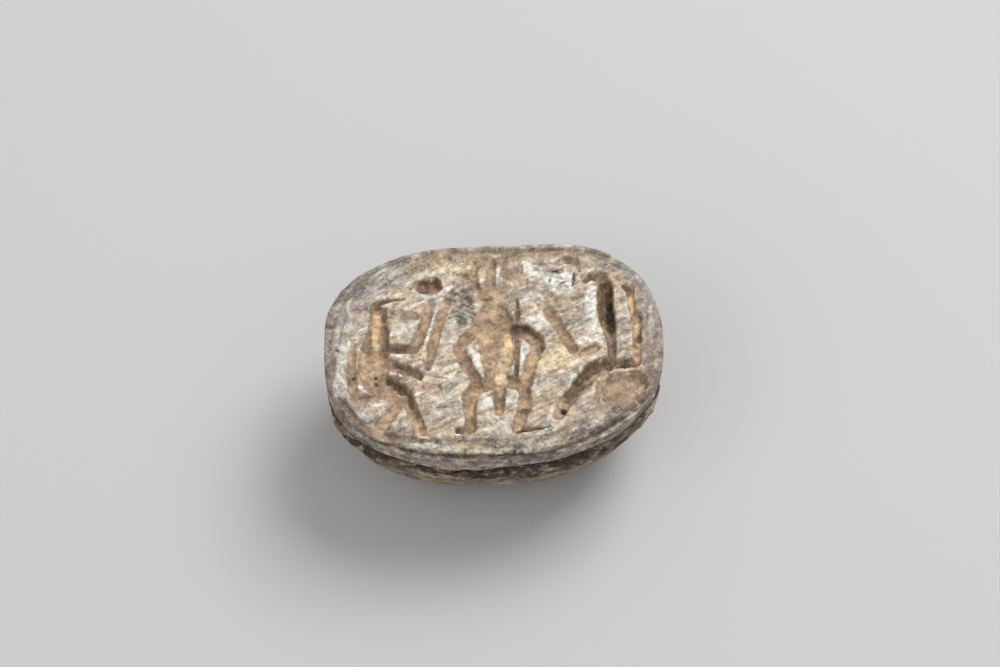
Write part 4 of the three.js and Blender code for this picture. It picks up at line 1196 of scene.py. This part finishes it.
def paint(points, size):
    """Colour of each vertex, how free of streaks the stone is there, and how speckled."""
    tone = tones()
    _, _, inset = around(points)
    depth = HEIGHT - points[:, 2]
    share = 1 - smoothstep(0.75, 1.0, depth)
    cut, edge = cut_by(figures(), points, stroke_wobble(points), 3)
    face, inside = face_colours(points, tone, share, cut, edge)
    outer = smoothstep(0.16, 0.34, depth + 0.06 * rough(points, 0.4, 151))
    outer *= 1 - smoothstep(0.1, 0.35, inset)
    outer = np.maximum(outer * (1 - inside), smoothstep(1.0, 1.2, depth))
    colour = mix(face, side_colours(points, tone, depth, inset, size), outer)

    warm, green = rough(points, 0.4, 171), rough(points, 0.3, 173)
    colour = colour * (1 + np.outer(warm, [0.07, 0.0, -0.1]) + np.outer(green, [-0.03, 0.03, -0.02]))
    colour = colour * (1 + 0.3 * rough(points, 0.22, 175))[:, None]
    holes = np.clip(1 - pits(points, *FINE_PITS) / 0.26, 0, 1)
    colour = mix(colour, tone["umber"], 0.8 * holes)
    speckled = np.clip(1.1 - smoothstep(0.6, 1.7, inset) * 0.75, 0, 1) * (1 - 0.6 * inside)
    speckled *= 1 - 0.6 * smoothstep(size["margin_depth"], size["margin_depth"] + 0.5, depth)
    calm = np.maximum(inside, 0.8 * smoothstep(size["margin_depth"], size["margin_depth"] + 0.6, depth))
    return np.clip(colour, 0.004, 0.95), calm, speckled


def rim_places(points):
    """Coordinates for the rim's grain: two run slowly round the seal, and the third across the rim."""
    angles, reach, inset = around(points)
    across = np.where(inset < 1.6, inset, 1.6) - (HEIGHT - points[:, 2])
    slow = 0.25 * reach
    return np.stack([slow * np.cos(angles), slow * np.sin(angles), across], axis=1) * MM


def add_layer(mesh, name, kind, values):
    """Keeps one value, vector or colour for each vertex, under the name that the material reads."""
    layer = mesh.attributes.new(name, kind, "POINT")
    if kind == "FLOAT_COLOR":
        values = np.concatenate([values, np.ones((len(values), 1))], axis=1)
    field = {"FLOAT_COLOR": "color", "FLOAT_VECTOR": "vector", "FLOAT": "value"}[kind]
    layer.data.foreach_set(field, np.ascontiguousarray(values).ravel())


# Where each part lies on the bake map, and its own share of the map for each millimetre.
FACE_MIDDLE = (0.31, 0.765)
FACE_SCALE = 0.033
BACK_MIDDLE = (0.805, 0.755)
BACK_SCALE = 0.019
STRIP_START = 0.015
STRIP_SCALE = 0.039
UPPER_ROWS = (0.08, 0.195)  # where the two halves of the plate's side begin
LOWER_ROWS = (0.31, 0.4)  # where the two halves of the ledge begin
LOWER_LEAD = 0.8
BORE_MIDDLE = (0.36, 0.038)
BORE_TURN_SCALE = 0.008
BORE_REACH = 1.05  # a little more than the radius of the bore's mouths


def read_faces(mesh):
    """The place and the face of each corner, and the centre and the upward slope of each face."""
    vertices = np.empty(len(mesh.loops), dtype=np.int32)
    mesh.loops.foreach_get("vertex_index", vertices)
    totals = np.empty(len(mesh.polygons), dtype=np.int32)
    mesh.polygons.foreach_get("loop_total", totals)
    facing = np.empty(len(mesh.polygons) * 3)
    mesh.polygons.foreach_get("normal", facing)
    corners = places(mesh)[vertices]
    owner = np.repeat(np.arange(len(totals)), totals)
    centres = np.stack([np.bincount(owner, corners[:, axis]) / totals for axis in range(3)], axis=1)
    return corners, owner, centres, facing.reshape(-1, 3)[:, 2]


def strip_spots(corners, owner, centres, lower, size):
    """The side unrolled into four strips: two halves of the plate's side and two of the ledge."""
    angles, _, inset = around(corners)
    depth = HEIGHT - corners[:, 2]
    start = arc_at(np.arctan2(centres[:, 1], centres[:, 0]))[owner]
    arc = start + short_way(arc_at(angles) - start, PERIMETER)
    half = (start > PERIMETER / 2).astype(int)
    low = lower[owner]
    across = np.where(low, depth - inset - size["plate_depth"] + LOWER_LEAD, depth + inset)
    row = np.where(low, np.take(LOWER_ROWS, half), np.take(UPPER_ROWS, half))
    along = STRIP_START + (arc - half * PERIMETER / 2) * STRIP_SCALE
    return np.stack([along, row + across * STRIP_SCALE], axis=1)


def bore_spots(corners, owner, centres, axis_height):
    """The bore's wall unrolled along one narrow strip."""
    middle_turn = np.arctan2(centres[:, 1], centres[:, 2] - axis_height)[owner]
    corner_turn = np.arctan2(corners[:, 1], corners[:, 2] - axis_height)
    turn = middle_turn + short_way(corner_turn - middle_turn, 2 * math.pi)
    scaled = np.stack([corners[:, 0] * FACE_SCALE, turn * BORE_TURN_SCALE], axis=1)
    return np.array(BORE_MIDDLE) + scaled


def lay_bake_map(mesh, size):
    """A flat map of the whole seal: the engraved face, the back, four strips of the side and the bore."""
    corners, owner, centres, facing = read_faces(mesh)
    _, _, inset = around(centres)
    depth = HEIGHT - centres[:, 2]
    axis_height = HEIGHT - size["bore_depth"]
    in_bore = (np.hypot(centres[:, 1], centres[:, 2] - axis_height) < BORE_REACH) & (inset > 0.75)
    on_face = ((facing > 0.35) | (inset > 0.7)) & (depth < 1.1)
    on_back = (depth > size["margin_depth"]) & ~in_bore
    lower = depth > size["plate_depth"] + plate_sag(centres) + 0.12

    spots = strip_spots(corners, owner, centres, lower, size)
    plan = corners[:, :2]
    spread = 1 + 0.6 * corners[:, 2] / np.clip(np.hypot(corners[:, 0], corners[:, 1]), 1, None)
    back = np.array(BACK_MIDDLE) + plan[:, ::-1] * spread[:, None] * BACK_SCALE
    face = np.array(FACE_MIDDLE) + plan * FACE_SCALE
    bore = bore_spots(corners, owner, centres, axis_height)
    for zone, zone_spots in ((on_back, back), (on_face, face), (in_bore, bore)):
        spots = np.where(zone[owner][:, None], zone_spots, spots)
    mesh.uv_layers.new(name="OFBake").uv.foreach_set("vector", np.clip(spots, 0, 1).ravel())


# --- Material -----------------------------------------------------------------------------------
class Wire:
    """A socket's value in a material, which Python's own operators work on."""

    def __init__(self, tree, socket):
        self.tree = tree
        self.socket = socket

    def node(self, kind, settings=None, inputs=None, output=0):
        """A new node with its settings made first, then its sockets' values or links."""
        made = self.tree.nodes.new(kind)
        for key, value in (settings or {}).items():
            setattr(made, key, value)
        for key, value in (inputs or {}).items():
            if isinstance(value, Wire):
                self.tree.links.new(value.socket, made.inputs[key])
            else:
                made.inputs[key].default_value = value
        return Wire(self.tree, made.outputs[output])

    def math(self, operation, first, second):
        return self.node("ShaderNodeMath", {"operation": operation}, {0: first, 1: second})

    def __add__(self, other):
        return self.math("ADD", self, other)

    __radd__ = __add__

    def __sub__(self, other):
        return self.math("SUBTRACT", self, other)

    def __rsub__(self, other):
        return self.math("SUBTRACT", other, self)

    def __mul__(self, other):
        return self.math("MULTIPLY", self, other)

    __rmul__ = __mul__

    def distance(self, value):
        """How far this is from a value, whichever is the larger."""
        return self.math("ABSOLUTE", self - value, 0)

    def step(self, low, high):
        """0 up to low, 1 from high, and smooth between."""
        return self.node("ShaderNodeMapRange", {"interpolation_type": "SMOOTHSTEP"}, {
            "Value": self, "From Min": low, "From Max": high})

    def colours(self, mode, share, first, second):
        return self.node("ShaderNodeMix", {"data_type": "RGBA", "blend_type": mode}, {
            "Factor": share, 6: first, 7: second}, output=2)

    def blend(self, first, second):
        """The first colour where this is 0 and the second where it is 1."""
        return self.colours("MIX", self, first, second)

    def shaded(self, shade):
        """This colour times a grey value."""
        return self.colours("MULTIPLY", 1.0, self, shade)


def seal_material():
    """Worn steatite: the painted colours, with the fine streaks, cracks, specks and roughness upon them."""
    look = bpy.context.scene.stone_look
    material = bpy.data.materials.new("worn_steatite")
    material.use_nodes = True
    tree = material.node_tree
    shader = tree.nodes["Principled BSDF"]
    start = Wire(tree, None)
    place = start.node("ShaderNodeTexCoord", output=3)

    def grain(size, detail=4.0, roughness=0.5, stretch=1.0, where=place):
        turned = start.node("ShaderNodeMapping", {"vector_type": "TEXTURE"}, {
            "Vector": where, "Rotation": (0, 0, math.radians(GRAIN_DEGREES)), "Scale": (stretch, 1, 1)})
        return start.node("ShaderNodeTexNoise", {}, {
            "Vector": turned, "Scale": 1 / (size * MM), "Detail": detail, "Roughness": roughness})

    def layer(name, output):
        return start.node("ShaderNodeAttribute", {"attribute_name": name}, output=output)

    painted = layer("patina_and_painted_light", 0)
    sunk = layer("sunk", 2)
    speckled = layer("speckled", 2)
    rim = layer("rim", 2)
    raised = 1 - sunk

    over_face = grain(0.26, 5, 0.6, 5.0)
    over_rim = grain(0.3, 5, 0.6, where=layer("rim_place", 1))
    streaks = over_face + (over_rim - over_face) * rim
    specks = grain(0.13, 5, 0.65)
    grunge = grain(0.4, 8, 0.75)
    patches = grain(1.1, 2).step(0.42, 0.55)
    worn = grain(0.8, 3).step(0.4, 0.58)
    cracks = 1 - streaks.distance(0.53).step(0.0, 0.02)

    slate, umber, chalk = ((*getattr(look, name), 1) for name in ("slate", "umber", "chalk"))
    colour = (streaks.step(0.55, 0.62) * (1 - sunk * 0.7) * (0.5 - 0.15 * rim)).blend(painted, slate)
    colour = ((1 - streaks).step(0.54, 0.64) * raised * worn * (0.6 - 0.35 * rim)).blend(colour, chalk)
    colour = (cracks * raised * patches * 0.9).blend(colour, slate)
    colour = (specks.step(0.57, 0.68) * (0.14 + 0.76 * speckled)).blend(colour, umber)
    colour = ((1 - specks).step(0.58, 0.72) * (0.45 * speckled)).blend(colour, chalk)
    colour = colour.shaded(grunge.step(0.32, 0.68) * 0.85 + 0.54)
    tree.links.new(colour.socket, shader.inputs["Base Color"])

    roughness = 0.5 + grunge * 0.35 + 0.05 * sunk
    tree.links.new(roughness.socket, shader.inputs["Roughness"])
    height = grain(0.1, 4) * 0.5 + streaks * raised * 0.9 + grunge * 0.6
    height = height - cracks * raised * patches * 0.2
    bump = start.node("ShaderNodeBump", {}, {"Strength": 0.6, "Distance": 0.06 * MM, "Height": height})
    tree.links.new(bump.socket, shader.inputs["Normal"])
    return material


# --- The seal -----------------------------------------------------------------------------------
class SCARAB_OT_carve_seal(Operator):
    """Turn the blank, bore and break it, and carve, weather and colour the whole seal"""

    bl_idname = "scarab.carve_seal"
    bl_label = "Carve the seal"

    def execute(self, context):
        size = sizes_mm()
        seal = turned_blank(side_levels(size))
        seal.name = "carved_scarab_seal"
        cut_away(seal, *bore_tools(size), flake_tool())
        apply_modifier(seal, "REMESH", mode="VOXEL", voxel_size=size["voxel"])
        apply_modifier(seal, "SMOOTH", factor=0.5, iterations=4)
        carve_stone(seal, size)
        thin_out(seal, context.scene.seal_sizes.most_triangles)

        mesh = seal.data
        points = np.clip(places(mesh), (-LENGTH / 2, -WIDTH / 2, 0), (LENGTH / 2, WIDTH / 2, HEIGHT))
        colour, sunk, speckled = paint(points, size)
        # Vertex colour: the stone's own colours, with painted shade and painted highlights in it.
        add_layer(mesh, "patina_and_painted_light", "FLOAT_COLOR", colour)
        add_layer(mesh, "sunk", "FLOAT", sunk)
        add_layer(mesh, "speckled", "FLOAT", speckled)
        add_layer(mesh, "rim", "FLOAT", 1 - smoothstep(0.8, 1.6, around(points)[2]))
        add_layer(mesh, "rim_place", "FLOAT_VECTOR", rim_places(points))
        lay_bake_map(mesh, size)
        set_places(mesh, points * MM)
        mesh.materials.clear()
        mesh.materials.append(seal_material())
        select_only(seal)
        bpy.ops.object.shade_smooth()

        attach(seal, "root")
        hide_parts(NODE)
        return {"FINISHED"}


# --- The stage ----------------------------------------------------------------------------------
FLOOR_SIZE = 1.2
SENSOR_WIDTH = 36  # in millimetres, as the lens is
KEY_PLACE, KEY_SIZE = (0.125, 0.135, 0.24), 0.18
FILL_PLACE, FILL_SIZE = (-0.15, -0.12, 0.18), 0.2
# The seal's place beside the middle of the view and below it, as shares of the view's width.
VIEW_RIGHT, VIEW_UP = -0.006, -0.0155


def power_setting(name, description, watts):
    return FloatProperty(name=name, description=description, default=watts, unit="POWER")


class StageLook(PropertyGroup):
    """The floor, the lights and where the camera stands."""

    floor: colour_setting("Floor", "Colour of the floor", (0.62, 0.62, 0.62))
    elevation: FloatProperty(
        name="Elevation", description="How far the camera looks down", default=math.radians(58),
        subtype="ANGLE", unit="ROTATION")
    distance: length_setting("Distance", "From the camera to the engraved face", 220.6)
    lens: FloatProperty(name="Lens", description="Focal length in millimetres", default=150)
    key_power: power_setting("Key light", "Power of the key light", 0.62)
    fill_power: power_setting("Fill light", "Power of the fill light", 0.13)
    room_light: FloatProperty(
        name="Room light", description="Strength of the light from all sides", default=0.42)


def lay_floor(colour):
    """A plain matt floor, well wider than the view."""
    bpy.ops.mesh.primitive_plane_add(size=FLOOR_SIZE, location=(0, 0, 0))
    floor = bpy.context.object
    floor.name = "floor"
    material = bpy.data.materials.new("pale_floor")
    material.use_nodes = True
    shader = material.node_tree.nodes["Principled BSDF"]
    shader.inputs["Base Color"].default_value = (*colour, 1)
    shader.inputs["Roughness"].default_value = 0.9
    floor.data.materials.append(material)


def fill_room(strength):
    """Even white light from all sides."""
    world = bpy.data.worlds.new("soft_room")
    world.use_nodes = True
    background = world.node_tree.nodes["Background"]
    background.inputs["Color"].default_value = (1, 1, 1, 1)
    background.inputs["Strength"].default_value = strength
    bpy.context.scene.world = world


def area_light(name, watts, size, place):
    """A square lamp that shines at the middle of the seal."""
    bpy.ops.object.light_add(type="AREA", location=place)
    lamp = bpy.context.object
    lamp.name = name
    lamp.data.energy = watts
    lamp.data.size = size
    target = Vector((0, 0, HEIGHT * MM / 2))
    lamp.rotation_euler = (target - Vector(place)).to_track_quat("-Z", "Y").to_euler()


def stand_camera(look):
    """The camera looks down on the middle of the picture, which lies a little beside the view's middle."""
    aim = Vector((0, PICTURE_MIDDLE_Y, HEIGHT)) * MM
    tilt = look.elevation
    forward = Vector((0, math.cos(tilt), -math.sin(tilt)))
    right = Vector((1, 0, 0))
    up = Vector((0, math.sin(tilt), math.cos(tilt)))
    view_width = look.distance * SENSOR_WIDTH / look.lens
    bpy.ops.object.camera_add()
    camera = bpy.context.object
    camera.name = "camera"
    camera.data.lens = look.lens
    camera.data.sensor_width = SENSOR_WIDTH
    camera.data.clip_start = 0.005
    camera.data.clip_end = 5
    camera.location = aim - forward * look.distance - (right * VIEW_RIGHT + up * VIEW_UP) * view_width
    camera.rotation_euler = forward.to_track_quat("-Z", "Y").to_euler()
    bpy.context.scene.camera = camera


class SCARAB_OT_set_stage(Operator):
    """Lay the floor, hang the lights and stand the camera at the viewing angle"""

    bl_idname = "scarab.set_stage"
    bl_label = "Set the stage"

    def execute(self, context):
        look = context.scene.stage_look
        lay_floor(look.floor)
        fill_room(look.room_light)
        area_light("key_light", look.key_power, KEY_SIZE, KEY_PLACE)
        area_light("fill_light", look.fill_power, FILL_SIZE, FILL_PLACE)
        stand_camera(look)
        context.scene.view_settings.view_transform = "Standard"
        return {"FINISHED"}


class SCARAB_PT_panel(Panel):
    """The seal's steps, in the sidebar"""

    bl_idname = "SCARAB_PT_panel"
    bl_label = "Scarab Seal"
    bl_space_type = "VIEW_3D"
    bl_region_type = "UI"
    bl_category = "Scarab Seal"

    def draw(self, context):
        for group in (context.scene.seal_sizes, context.scene.stone_look, context.scene.stage_look):
            for name in group.__annotations__:
                self.layout.prop(group, name)
        for operator in (SCARAB_OT_carve_seal, SCARAB_OT_set_stage):
            self.layout.operator(operator.bl_idname)


CLASSES = (SealSizes, StoneLook, StageLook, SCARAB_OT_carve_seal, SCARAB_OT_set_stage, SCARAB_PT_panel)


def register():
    for item in CLASSES:
        bpy.utils.register_class(item)
    bpy.types.Scene.seal_sizes = PointerProperty(type=SealSizes)
    bpy.types.Scene.stone_look = PointerProperty(type=StoneLook)
    bpy.types.Scene.stage_look = PointerProperty(type=StageLook)


def unregister():
    del bpy.types.Scene.stage_look
    del bpy.types.Scene.stone_look
    del bpy.types.Scene.seal_sizes
    for item in reversed(CLASSES):
        bpy.utils.unregister_class(item)


def main():
    register()
    bpy.ops.object.select_all(action="DESELECT")
    bpy.ops.scarab.carve_seal()
    bpy.ops.scarab.set_stage()


if __name__ == "__main__":
    main()
